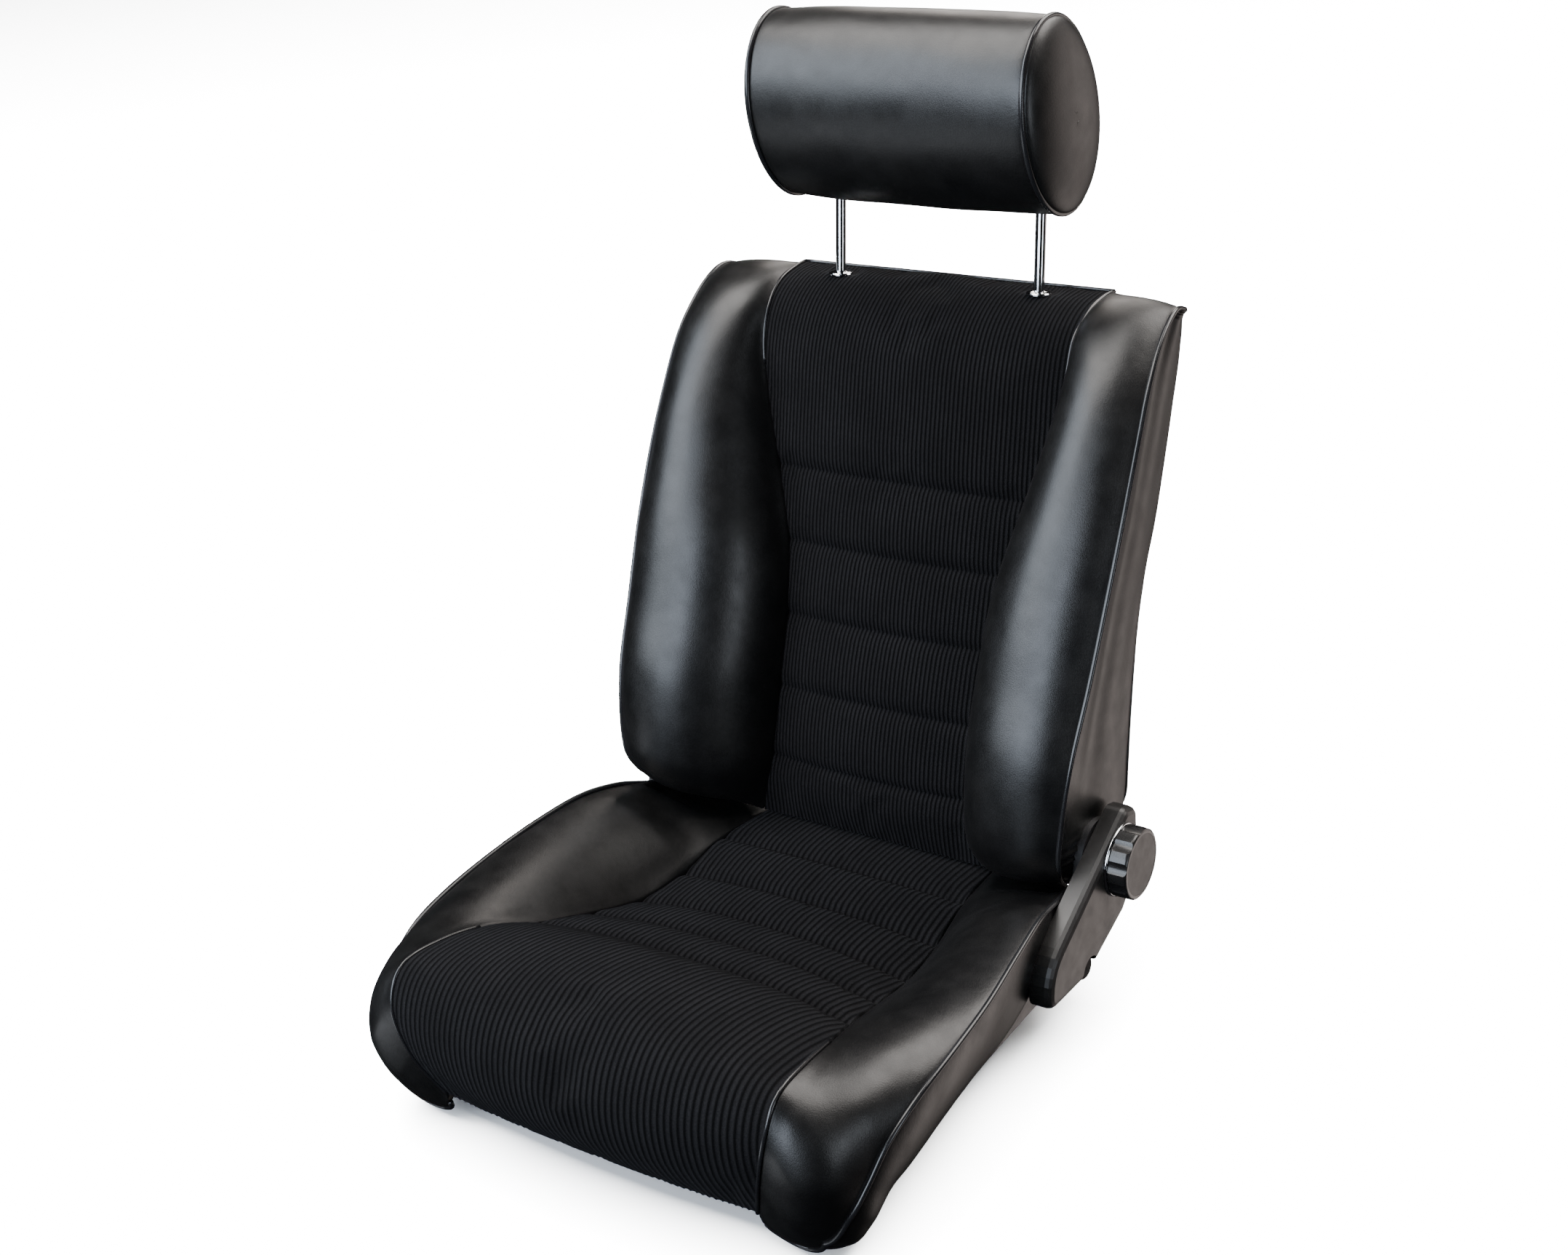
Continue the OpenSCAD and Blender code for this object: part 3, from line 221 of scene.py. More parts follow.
# One socket of a node tree, on which sums are written as plain expressions
class Wire:
    def __init__(self, tree, socket=None):
        self.tree, self.socket = tree, socket

    def node(self, kind, settings=None, inputs=None, output=0):
        made = self.tree.nodes.new(kind)
        for key, value in (settings or {}).items():
            setattr(made, key, value)
        for key, value in (inputs or {}).items():
            if isinstance(value, Wire):
                self.tree.links.new(value.socket, made.inputs[key])
            else:
                made.inputs[key].default_value = value
        return Wire(self.tree, made.outputs[output])

    def maths(self, operation, *values):
        return self.node("ShaderNodeMath", {"operation": operation}, dict(enumerate(values)))

    def __add__(self, other):
        return self.maths("ADD", self, other)

    def __sub__(self, other):
        return self.maths("SUBTRACT", self, other)

    def __rsub__(self, other):
        return self.maths("SUBTRACT", other, self)

    def __mul__(self, other):
        return self.maths("MULTIPLY", self, other)

    __radd__ = __add__
    __rmul__ = __mul__

    # Two colours, this socket says how much of the second
    def between(self, first, second):
        return self.node("ShaderNodeMix", {"data_type": "RGBA"},
                         {0: self, 6: first, 7: second}, output=2)

    def limited(self, low, high, toLow=0.0, toHigh=1.0):
        return self.node("ShaderNodeMapRange", {}, {0: self, 1: low, 2: high, 3: toLow,
                                                    4: toHigh})

    # Noise with grains of this size in metres
    def noisy(self, size, detail=3.0, rough=0.5):
        return self.node("ShaderNodeTexNoise", {}, {"Vector": self, "Scale": 1 / size,
                                                    "Detail": detail, "Roughness": rough})


# A new material: itself, its tree, its shader and the Object coordinates
def newFinish(name):
    made = bpy.data.materials.new(name)
    made.use_nodes = True
    tree = made.node_tree
    shader = tree.nodes["Principled BSDF"]
    place = Wire(tree).node("ShaderNodeTexCoord", {}, {}, output=3)
    return made, tree, shader, place


def bumpInto(tree, shader, height, distance, strength=1.0):
    bump = height.node("ShaderNodeBump", {}, {"Strength": strength, "Distance": distance,
                                              "Height": height})
    tree.links.new(bump.socket, shader.inputs["Normal"])


vinyl = {"dark": (0.0012, 0.0012, 0.0014, 1), "worn": (0.0030, 0.0028, 0.0028, 1),
         "patch": 0.055, "rough": (0.35, 0.44), "roughPatch": 0.02, "grain": 0.0011,
         "grainDepth": 0.00010, "crease": 0.009, "specular": 0.5}


def vinylFinish():
    made, tree, shader, place = newFinish("blackVinyl")
    patches = place.noisy(vinyl["patch"], 3)
    tone = patches.limited(0.35, 0.7).between(vinyl["dark"], vinyl["worn"])
    tree.links.new(tone.socket, shader.inputs["Base Color"])
    rough = place.noisy(vinyl["roughPatch"], 4).limited(0.3, 0.75, *vinyl["rough"])
    tree.links.new(rough.socket, shader.inputs["Roughness"])
    cells = place.node("ShaderNodeTexVoronoi", {"feature": "SMOOTH_F1"},
                       {"Vector": place, "Scale": 1 / vinyl["grain"], "Smoothness": 0.6})
    creases = place.noisy(vinyl["crease"], 4, 0.6)
    # creased more beside the seams
    near = place.node("ShaderNodeAttribute", {"attribute_name": "seamNear"}, {}, output=2)
    height = (1 - cells) * 0.5 + creases * (near * 3.0 + 0.6)
    bumpInto(tree, shader, height, vinyl["grainDepth"])
    shader.inputs["Specular IOR Level"].default_value = vinyl["specular"]
    return made


# dark is painted shade for the grooves between the ribs; nap is the pile's own tone on top of
# the ribs
cord = {"height": 0.95, "base": 0.4, "rim": 5.0, "round": 0.55, "perRib": 6,
        "dark": (0.0006, 0.0006, 0.0008, 1), "nap": (0.0115, 0.0113, 0.0124, 1),
        "grooveShade": (0.55, 0.97), "fibre": 0.0016, "fibreDepth": 0.0005, "rubbed": 0.045,
        "rough": 0.95, "specular": 0.08, "sheen": 0.025, "sheenRough": 0.45,
        "sheenTint": (0.75, 0.78, 0.85, 1)}


def corduroyFinish():
    made, tree, shader, place = newFinish("blackCorduroy")
    ridge = place.node("ShaderNodeAttribute", {"attribute_name": "ridge"}, {}, output=2)
    fibres = place.noisy(cord["fibre"], 4, 0.65)
    rubbed = place.noisy(cord["rubbed"], 3)
    # the grooves between the ribs get painted shade, darker than the nap; the fibres and rubbed
    # patches vary the nap's own tone
    napAndGrooveShade = ridge.limited(*cord["grooveShade"]) * fibres.limited(0.25, 0.75, 0.55, 1.0) \
        * rubbed.limited(0.3, 0.7, 0.65, 1.0)
    tone = napAndGrooveShade.between(cord["dark"], cord["nap"])
    tree.links.new(tone.socket, shader.inputs["Base Color"])
    shader.inputs["Roughness"].default_value = cord["rough"]
    shader.inputs["Specular IOR Level"].default_value = cord["specular"]
    shader.inputs["Sheen Weight"].default_value = cord["sheen"]
    shader.inputs["Sheen Roughness"].default_value = cord["sheenRough"]
    shader.inputs["Sheen Tint"].default_value = cord["sheenTint"]
    bumpInto(tree, shader, fibres, cord["fibreDepth"], 0.8)
    return made


# Two near tones in patches, a range of roughness and a fine grain
def plainFinish(name, tone, other, rough, metal=0.0, grain=0.0006, depth=0.00003, coat=0.0,
                patch=0.03, specular=0.5):
    made, tree, shader, place = newFinish(name)
    shade = place.noisy(patch, 4).limited(0.35, 0.7).between(tone, other)
    tree.links.new(shade.socket, shader.inputs["Base Color"])
    varied = place.noisy(patch * 0.6, 5, 0.6).limited(0.3, 0.7, *rough)
    tree.links.new(varied.socket, shader.inputs["Roughness"])
    shader.inputs["Metallic"].default_value = metal
    shader.inputs["Specular IOR Level"].default_value = specular
    shader.inputs["Coat Weight"].default_value = coat
    shader.inputs["Coat Roughness"].default_value = 0.08
    bumpInto(tree, shader, place.noisy(grain, 2), depth)
    return made


finishes = {
    "vinyl": vinylFinish(),
    "corduroy": corduroyFinish(),
    "piping": plainFinish("glossyPiping", (0.008, 0.008, 0.009, 1), (0.014, 0.014, 0.015, 1),
                          (0.16, 0.26), depth=0.00002),
    "chrome": plainFinish("polishedChrome", (0.78, 0.79, 0.81, 1), (0.70, 0.71, 0.73, 1),
                          (0.05, 0.11), metal=1.0, depth=0.000003),
    "black_steel": plainFinish("paintedSteel", (0.012, 0.012, 0.013, 1), (0.02, 0.02, 0.021, 1),
                               (0.35, 0.5), coat=0.1),
    "zinc_steel": plainFinish("zincedSteel", (0.50, 0.50, 0.49, 1), (0.62, 0.62, 0.60, 1),
                              (0.28, 0.45), metal=1.0, patch=0.012),
    "cover_plastic": plainFinish("satinCoverPlastic", (0.010, 0.0095, 0.009, 1),
                                 (0.016, 0.015, 0.0145, 1), (0.34, 0.44), grain=0.0009,
                                 depth=0.00005),
    "cap_plastic": plainFinish("mattCapPlastic", (0.003, 0.003, 0.003, 1),
                               (0.006, 0.006, 0.006, 1), (0.6, 0.75), specular=0.2),
    "gloss_plastic": plainFinish("glossKnobPlastic", (0.006, 0.006, 0.006, 1),
                                 (0.010, 0.009, 0.009, 1), (0.24, 0.33), coat=0.15),
}
print("finishes ready")

# CAD nodes that stay take the finish of their slot
slotOf = {"mount_rail_left": "black_steel", "mount_rail_right": "black_steel",
          "weld_nuts": "zinc_steel", "side_member_left": "black_steel",
          "side_member_right": "black_steel", "front_cross_tube": "black_steel",
          "rear_cross_tube": "black_steel", "seat_springs": "zinc_steel",
          "seat_spring_clips": "zinc_steel", "lower_arm_left": "black_steel",
          "lower_arm_right": "black_steel", "arm_spacers": "zinc_steel",
          "arm_bolts": "zinc_steel", "bolt_caps": "cap_plastic",
          "recliner_ring_left": "black_steel", "recliner_ring_right": "black_steel",
          "pivot_bolt": "zinc_steel", "recliner_cover_left": "cover_plastic",
          "recliner_cover_right": "cover_plastic", "back_tube_left": "black_steel",
          "back_tube_right": "black_steel", "back_top_tube": "black_steel",
          "back_low_tube": "black_steel", "back_springs": "zinc_steel",
          "upper_arm_left": "black_steel", "upper_arm_right": "black_steel",
          "recliner_hub_left": "zinc_steel", "recliner_hub_right": "zinc_steel",
          "headrest_guides": "gloss_plastic", "headrest_rosettes": "chrome",
          "headrest_post_left": "chrome", "headrest_post_right": "chrome",
          "headrest_crossbar": "zinc_steel", "recliner_knob": "gloss_plastic",
          "knob_disc": "cover_plastic", "knob_spindle": "zinc_steel",
          "drive_cam": "zinc_steel"}
for nodeName, slotName in slotOf.items():
    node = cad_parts[nodeName]
    if not node.material_slots:
        node.data.materials.append(finishes[slotName])
    for holder in node.material_slots:
        holder.material = finishes[slotName]


# Stations of the seat from its rear (0) over the front roll and under its nose (11): x, y, z,
# or only y, z for "under", and how far the side panel bellies out
seatTables = {
    "seam": [(126, 201, 96), (134, 114, 103), (139.3, 53.5, 94), (145.8, -7, 96),
             (155.2, -67.5, 114.3), (167, -128, 136), (181.2, -172, 154.8),
             (189.5, -226, 168), (193, -270, 168), (191.2, -291, 138), (180, -289, 92),
             (162.9, -272, 45)],
    "outer": [(226, 151, 124), (239, 106, 141), (249, 49.5, 155), (258, -12, 155),
              (265, -74.5, 150), (267, -136, 144), (265, -184, 135), (259, -222, 116),
              (252, -246, 88), (243, -261, 64), (222, -268, 36), (168, -267, 32)],
    "skirt": [(234, 147, 88.3), (241, 104, 87.3), (243, 51.5, 85.3), (245, -10, 72),
              (247, -74.5, 70), (248, -120, 66), (248, -155, 60), (246, -180, 54),
              (242, -200, 47), (237, -222, 26), (226, -241, 15), (184, -251, 15)],
    "under": [(201, 88.8), (114, 71.9), (53.5, 71.9), (-7, 71.9), (-67.5, 71.9),
              (-128, 71.9), (-172, 71.9), (-196, 71.8), (-215, 81.8), (-232, 77.8),
              (-236, 63.8), (-240, 47.8)],
    "belly": [(0,), (-1,), (-3,), (-2,), (1,), (2,), (2,), (2,), (2,), (2,), (1,), (1,)],
}
# An insert: its crown, and over how many stations it rises and falls; channels at stations,
# their depth at the edge and how much more in the middle; air pressure, the most that it
# moves the cover in mm, and the pitch of the ribs
seatInsert = {"stations": 11, "crown": 14, "square": 2.5, "rises": 2.5, "falls": 1.5,
              "least": 0.3, "channels": (1, 2, 3, 4, 5),
              "tuck": 7, "tuckEdge": 0.55, "tuckMiddle": 0.45, "tuckWidth": 0.11,
              "puff": 4.0, "cap": 5, "ribs": 6.2, "gap": 0.4, "floor": 71.9}
noseDip = {"from": 10, "round": 0.8, "move": (0, 10, -19)}
tuckShape = {"soft": 0.62, "sharp": 0.38, "sharpWidth": 0.35}
insertRows = {"plain": 0.1, "coarse": 0.125, "closest": 0.012,
              "beside": (0, 0.025, 0.05, 0.08, 0.12, 0.17, 0.24, 0.33, 0.42, 0.5)}
coarseColumns = np.linspace(-1, 1, 33)


# The outer seam, which dips under the nose of the bolster before it meets the insert
def seatOuter(s):
    dip = np.sin(np.pi * np.clip(np.asarray(s, float) - noseDip["from"], 0, 1)) \
        ** noseDip["round"]
    return along(seatTables["outer"], s) + dip[..., None] * np.array(noseDip["move"])


# Underside of the cushion (y, z), level up to the front roll
def seatFloor(s):
    v = along(seatTables["under"], s)
    v[..., 1] = np.where(s < 7, np.maximum(v[..., 1], seatInsert["floor"]), v[..., 1])
    return v


def seatOutward(s):
    d = along(seatTables["seam"], np.minimum(s + 0.1, seatInsert["stations"])) \
        - along(seatTables["seam"], np.maximum(s - 0.1, 0))
    return unit(np.stack([np.zeros_like(s), d[..., 2], -d[..., 1]], -1))


# Rows along an insert, closer together at its sewn channels
def channelRows(insert):
    last = insert["stations"]
    rows = set(np.round(np.arange(0, last + 1e-6, insertRows["plain"]), 4))
    for c in insert["channels"]:
        for d in insertRows["beside"]:
            rows.update(round(at, 4) for at in (c - d, c + d) if 0 <= at <= last)
    rows = np.array(sorted(rows))
    return rows[np.r_[True, np.diff(rows) > insertRows["closest"]]]


# Depth of a sewn channel: a soft dip with a sharp stitched line in it
def tuckAt(d, depth, width):
    return depth * (tuckShape["soft"] * np.exp(-(d / width) ** 2)
                    + tuckShape["sharp"] * np.exp(-d / (width * tuckShape["sharpWidth"])))


# Rise of an insert over its seams: the crown less the channels
def insertRise(insert, s, u):
    ends = np.minimum(np.minimum(1, s / insert["rises"]),
                      (insert["stations"] - s) / insert["falls"] + insert["least"])
    lift = 1 - np.abs(u) ** insert["square"]
    near = np.min([np.abs(s - c) for c in insert["channels"]], axis=0)
    depth = insert["tuck"] * (insert["tuckEdge"] + insert["tuckMiddle"] * lift)
    return insert["crown"] * lift * ends - tuckAt(near, depth, insert["tuckWidth"])


def seatSurface(s, u):
    p = along(seatTables["seam"], s)
    x = u * (p[..., 0] - seatInsert["gap"])
    return np.stack([x, p[..., 1], p[..., 2]], -1) \
        + seatOutward(s) * insertRise(seatInsert, s, u)[..., None]


# Columns at constant x across ribs, held at the seam where they pass it
def ribColumns(halfWidths, pitch):
    widest = float(halfWidths.max())
    count = int(widest / pitch * cord["perRib"]) + 2
    x = np.arange(-count, count + 1) * pitch / cord["perRib"]
    limit = halfWidths[:, None]
    return np.clip(x[None, :], -limit, limit)


# How far air moves an insert between its seams and channels, read at coarse rows
def puffInsert(name, surface, insert, turned=1):
    rows = np.arange(0, insert["stations"] + 0.01, insertRows["coarse"])
    coarse = surface(*np.meshgrid(rows, coarseColumns, indexing="ij"))
    held = np.zeros(coarse.shape[:2], bool)
    held[:, [0, -1]] = True
    held[[0, -1], :] = True
    for c in insert["channels"]:
        held[np.argmin(np.abs(rows - c)), :] = True
    moves = puff(coarse[:, ::turned], held, insert["puff"], insert["cap"])[:, ::turned]
    print(name, "puffed, furthest point", round(float(np.abs(moves).max()), 1), "mm")
    return lambda s, u: spread(moves, rows, coarseColumns, s, u)


# A ribbed cover over a surface, closed underneath; flip is -1 for the backrest, whose
# underside is given in its own axes
def ribbedCover(insert, surface, seam, moves, under, flip, settle=None):
    rowsAt = channelRows(insert)
    half = along(seam, rowsAt)[..., 0] - insert["gap"]
    x = ribColumns(half, insert["ribs"])
    u = x / half[:, None]
    sheet = surface(np.repeat(rowsAt[:, None], x.shape[1], axis=1), u)
    # normals of the moved sheet without ribs, read where each column stands
    smoothU = np.linspace(-1, 1, 81)
    plainS, plainU = np.meshgrid(rowsAt, smoothU, indexing="ij")
    plain = surface(plainS, plainU)
    if moves:
        sheet = sheet + moves(rowsAt, u)
        plain = plain + moves(rowsAt, plainU)
    plainNormals = sheetNormals(plain, flip)
    normals = np.empty_like(sheet)
    for k in range(3):
        for i in range(len(rowsAt)):
            normals[i, :, k] = np.interp(u[i], smoothU, plainNormals[i, :, k])
    normals = unit(normals)
    ridge = np.abs(np.sin(np.pi * x / insert["ribs"])) ** cord["round"]
    edge = np.clip((half[:, None] - np.abs(x)) / cord["rim"], 0, 1)
    sheet = sheet + normals * ((ridge * cord["height"] - cord["base"]) * edge)[..., None]
    if settle:
        sheet = settle(sheet)
    # underside from the right rim back to the left one
    floor = under(rowsAt)
    lower = np.stack([np.stack([t * half, floor[..., 0], floor[..., 1]], -1)
                      for t in np.linspace(1, -1, 9)], 1)
    if flip < 0:
        lower = backToSeat(lower)
    ring = np.concatenate([sheet, lower, sheet[:, :1]], 1)
    # the underside has no ribs, so the corduroy finish gives it the painted groove shade
    flat = np.zeros((len(rowsAt), ring.shape[1] - x.shape[1]))
    shape = gridShape(ring, np.concatenate([ridge, flat], 1), layerName="ridge")
    closeRims(shape)
    return shape


moves = puffInsert("seat insert", seatSurface, seatInsert)
shape = ribbedCover(seatInsert, seatSurface, seatTables["seam"], moves, seatFloor, 1)
piece = keepPiece("seatInsertCover", shape, "base", finishes["corduroy"])
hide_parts("seat_insert")
print("seat insert made")

seatBolster = {"swell": 17, "rearFill": 0.5, "noseEnd": 11.3, "noseFade": 2.2, "lean": 1.2,
               "round": 0.85, "valley": 0.8 / 16, "valleyAt": 0.1, "valleyWidth": 0.07,
               "belly": 5, "sink": 1.3, "uneven": 1.2, "unevenSize": 60, "rows": 0.12}
# from the inner seam over the top to the outer one, then down the side panel
seatTopSteps = np.r_[0, 0.015, 0.04, np.linspace(0.08, 0.92, 20), 0.96, 0.985, 1]
seatSideSteps = np.r_[0.03, 0.08, np.linspace(0.15, 1, 10)]
# radius about the recliner that the backrest's lower end keeps to, by distance from the middle
backSweep = {"across": [126, 150, 200, 222.5, 226], "low": [52, 47.5, 38.5, 36.5, 28],
             "front": 56, "frontStart": 12, "frontReach": 28, "least": 30, "behind": -25,
             "spare": 2.2}


# Keeps a sheet out of the circle that the backrest's lower end sweeps about the recliner
def clearOfBack(sheet):
    low = np.interp(sheet[..., 0], backSweep["across"], backSweep["low"], left=0)
    away = sheet[..., 1:] - np.array(backAxis)
    ahead = np.clip((-away[..., 0] - backSweep["frontStart"]) / backSweep["frontReach"], 0, 1) \
        * (low > backSweep["least"])
    far = np.maximum(np.linalg.norm(away, axis=-1), 1e-6)
    push = np.clip(mix(low, backSweep["front"], ahead) / far, 1, 2)[..., None]
    moved = sheet.copy()
    moved[..., 1:] = backAxis + away * push
    return moved


# The backrest's own lower end kept inside that circle, in its own axes
def withinSweep(local):
    low = np.interp(local[..., 0], backSweep["across"], backSweep["low"], left=60)
    far = np.maximum(np.linalg.norm(local[..., 1:], axis=-1), 1e-6)
    below = (local[..., 2] < 0) & (local[..., 1] > backSweep["behind"]) \
        & (local[..., 0] < backSweep["across"][-1])
    pull = np.where(below, np.minimum(1, (low - backSweep["spare"]) / far), 1)[..., None]
    moved = local.copy()
    moved[..., 1:] *= pull
    return moved


# How deep a seam draws the cover in beside it, at a share t of the way to the next seam
def drawnIn(depth, t, start, end=None):
    return depth * (math.exp(-t / start) + (math.exp(-(1 - t) / end) if end else 0))


# Bolster of the seat: over the top, down the side panel, then back inside under the foam
def seatBolsterRing(s):
    outer = seatTables["outer"]
    a = along(seatTables["seam"], s) + np.array([seatInsert["gap"], 0, 0])
    b, k = seatOuter(s), along(seatTables["skirt"], s)
    v = seatFloor(s)
    travel = along(outer, np.minimum(s + 0.2, 11)) - along(outer, np.maximum(s - 0.2, 0))
    out = unit(np.cross(travel, b - a))
    swell = seatBolster["swell"] * np.minimum(1, np.maximum(s - 0.9, seatBolster["rearFill"])) \
        * np.clip((seatBolster["noseEnd"] - s) / seatBolster["noseFade"], 0.1, 1)
    cols = []
    for t in seatTopSteps:
        arch = max(0.0, math.sin(math.pi * t ** seatBolster["lean"])) ** seatBolster["round"]
        valley = math.exp(-((t - seatBolster["valleyAt"]) / seatBolster["valleyWidth"]) ** 2)
        rise = swell * (arch - seatBolster["valley"] * valley)
        sink = drawnIn(seatBolster["sink"], t, 0.03, 0.02)
        cols.append(mix(a, b, t) + out * (rise - sink)[:, None])
    down = unit(np.cross(travel, k - b))
    belly = along(seatTables["belly"], s) + seatBolster["belly"]
    for t in seatSideSteps:
        bow = np.array([1.0, 0, 0]) * (belly * (4 * t * (1 - t)))
        cols.append(mix(b, k, t) + bow - down * drawnIn(seatBolster["sink"], t, 0.05))
    foot = k - np.array([1.5, 0, 0]) + np.array([0, 0, 1.0])
    cols.append(foot)
    inner = np.stack([np.minimum(200, k[:, 0] - 20), v[:, 0], v[:, 1] + 4], -1)
    cols.append(mix(foot, inner, 0.5) + np.array([0, 0, 6.0]))
    cols.append(inner)
    cols.append(np.stack([mix(a[:, 0], inner[:, 0], 0.5), v[:, 0], v[:, 1]], -1))
    cols.append(np.stack([a[:, 0], v[:, 0], v[:, 1]], -1))
    cols.append(mix(a, cols[-1], 0.5))
    cols.append(cols[0])
    return clearOfBack(np.stack(cols, 1))


# Bumps the columns of a bolster that show, and closes it; 1 beside a seam for the creases
def bolsterShape(ring, bumps, topCount, mirrored):
    shown = slice(2, 38)
    ring[:, shown] += (sheetNormals(ring) * bumps[..., None])[:, shown]
    near = np.zeros(ring.shape[:2])
    t = np.linspace(0, 1, topCount)
    near[:, :topCount] = np.exp(-t / 0.12) + np.exp(-(1 - t) / 0.12)
    near[:, topCount:topCount + 6] = np.exp(-np.arange(6) / 3)
    shape = gridShape(ring, np.clip(near, 0, 1), mirrored)
    closeRims(shape)
    return shape


# rows are closer together at the nose
bolsterRows = np.arange(0, 9.9, seatBolster["rows"])
bolsterRows = np.r_[bolsterRows, np.linspace(9.95, 11, 19)]
for side, tag in bothSides:
    ring = seatBolsterRing(bolsterRows)
    bumps = unevenness(ring, seatBolster["unevenSize"], seatBolster["uneven"], 3 + side)
    shape = bolsterShape(ring, bumps, len(seatTopSteps), side < 0)
    piece = softened(keepPiece("seatBolsterCover" + tag, shape, "base", finishes["vinyl"]))
    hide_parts("seat_bolster_" + tag.lower())
print("seat bolsters made")

# Stations of the backrest from its lower end (0) to its upper one (12) in its own axes:
# x, q, w, or only q, w for "under" and "panel"; which way the bolster swells and how much
backTables = {
    "seam": [(125, 20, -46), (119, 12, -17), (114, 10, 15), (111, 8, 86), (112, 12, 157),
             (118.2, 14, 228), (136.3, 14, 299), (152.3, 12, 360), (161, 10, 412),
             (162, 15, 448), (164, 34, 472), (165, 62, 486), (166, 80, 491)],
    "outer": [(222, -8.4, -28), (233, -45, -17), (238, -66, 15), (243, -72, 86),
              (247, -61, 157), (250, -50, 232), (251, -37, 302), (250, -22, 366),
              (248, -8, 414), (245, 10, 448), (243, 29, 470), (241, 49, 482),
              (238, 72, 482)],
    "edge": [(230, -6, -16), (234, 22, -9), (236, 68, 24), (237, 63, 86), (237, 56, 157),
             (237, 56, 230), (237, 67, 302), (236, 75, 366), (236, 79, 414), (236, 80, 444),
             (236, 79, 463), (235, 78, 474), (234, 78, 480)],
    "under": [(28, -43), (28, -17), (28, 15), (28, 86), (28, 157), (28, 228), (28, 299),
              (28, 360), (28, 412), (28, 446), (32, 452), (54, 454), (72, 456)],
    "turn": [(-70,), (-38,), (-12,), (-2,), (0,), (0,), (2,), (6,), (14,), (34,), (58,),
             (76,), (84,)],
    "swell": [(.15,), (.45,), (.8,), (.95,), (1,), (1,), (.95,), (.85,), (.7,), (.5,),
              (.32,), (.22,), (.15,)],
    "panel": [(77, 18), (72, 52), (65, 104), (60, 157), (58, 200), (62, 250), (72, 295),
              (78, 345), (83, 400), (86, 440), (83, 468), (81, 479)],
}
backInsert = {"stations": 12, "crown": 10, "square": 2.5, "rises": 1.5, "falls": 4,
              "least": 0, "channels": (2, 3, 4, 5, 6),
              "tuck": 5.5, "tuckEdge": 0.55, "tuckMiddle": 0.45, "tuckWidth": 0.10,
              "puff": 3.0, "cap": 4, "ribs": 4.4, "gap": 0.4}


# Direction in the backrest's axes: 0 is straight forwards, 90 is up
def leanForward(degrees):
    turn = np.radians(degrees)
    return np.stack([np.zeros_like(turn), -np.cos(turn), np.sin(turn)], -1)


def backSurface(s, u):
    p = along(backTables["seam"], s)
    rise = insertRise(backInsert, s, u)
    x = u * (p[..., 0] - backInsert["gap"])
    local = np.stack([x, p[..., 1], p[..., 2]], -1) \
        + leanForward(along(backTables["turn"], s)[..., 0]) * rise[..., None]
    return backToSeat(local)


# place in the backrest's axes, lean of the posts, and how far round them the cover is pressed
rosette = {"x": 106, "q": 50, "w": 483, "lean": 8, "flat": 13.5, "reach": 25, "above": 0.2}


# Presses the cover down under the rosettes of the headrest posts
def underRosettes(sheet):
    lean = math.radians(rosette["lean"])
    up = np.array([0, math.sin(lean), math.cos(lean)])
    for side in (-1, 1):
        away = sheet - backToSeat(np.array([side * rosette["x"], rosette["q"], rosette["w"]]))
        high = away @ up
        far = np.linalg.norm(away - high[..., None] * up, axis=-1)
        near = np.clip((rosette["reach"] - far) / (rosette["reach"] - rosette["flat"]), 0, 1)
        drop = np.clip(high - rosette["above"], 0, 12) * near * near * (3 - 2 * near)
        sheet = sheet - drop[..., None] * up
    return sheet


moves = puffInsert("back insert", backSurface, backInsert, turned=-1)
shape = ribbedCover(backInsert, backSurface, backTables["seam"], moves,
                    lambda s: along(backTables["under"], s), -1, underRosettes)
piece = keepPiece("backInsertCover", shape, "backrest", finishes["corduroy"])
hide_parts("back_insert")
print("back insert made")

backBolster = {"swell": 43.5, "innerReach": 0.8, "innerSpread": 0.1, "outerInset": 0.28,
               "belly": 4.5, "fill": 1.2, "valley": 5.0, "valleyAt": 0.34,
               "valleyWidth": 0.15, "sink": 1.9, "uneven": 1.4, "unevenSize": 75,
               "rows": 0.12}
backTopSteps = np.r_[0, 0.012, 0.035, np.linspace(0.07, 0.93, 20), 0.965, 0.988, 1]
backSideSteps = np.r_[0.02, 0.06, np.linspace(0.12, 1, 12)]


def bezier(a, b, c, d, t):
    return a * (1 - t) ** 3 + 3 * b * t * (1 - t) ** 2 + 3 * c * t * t * (1 - t) + d * t ** 3


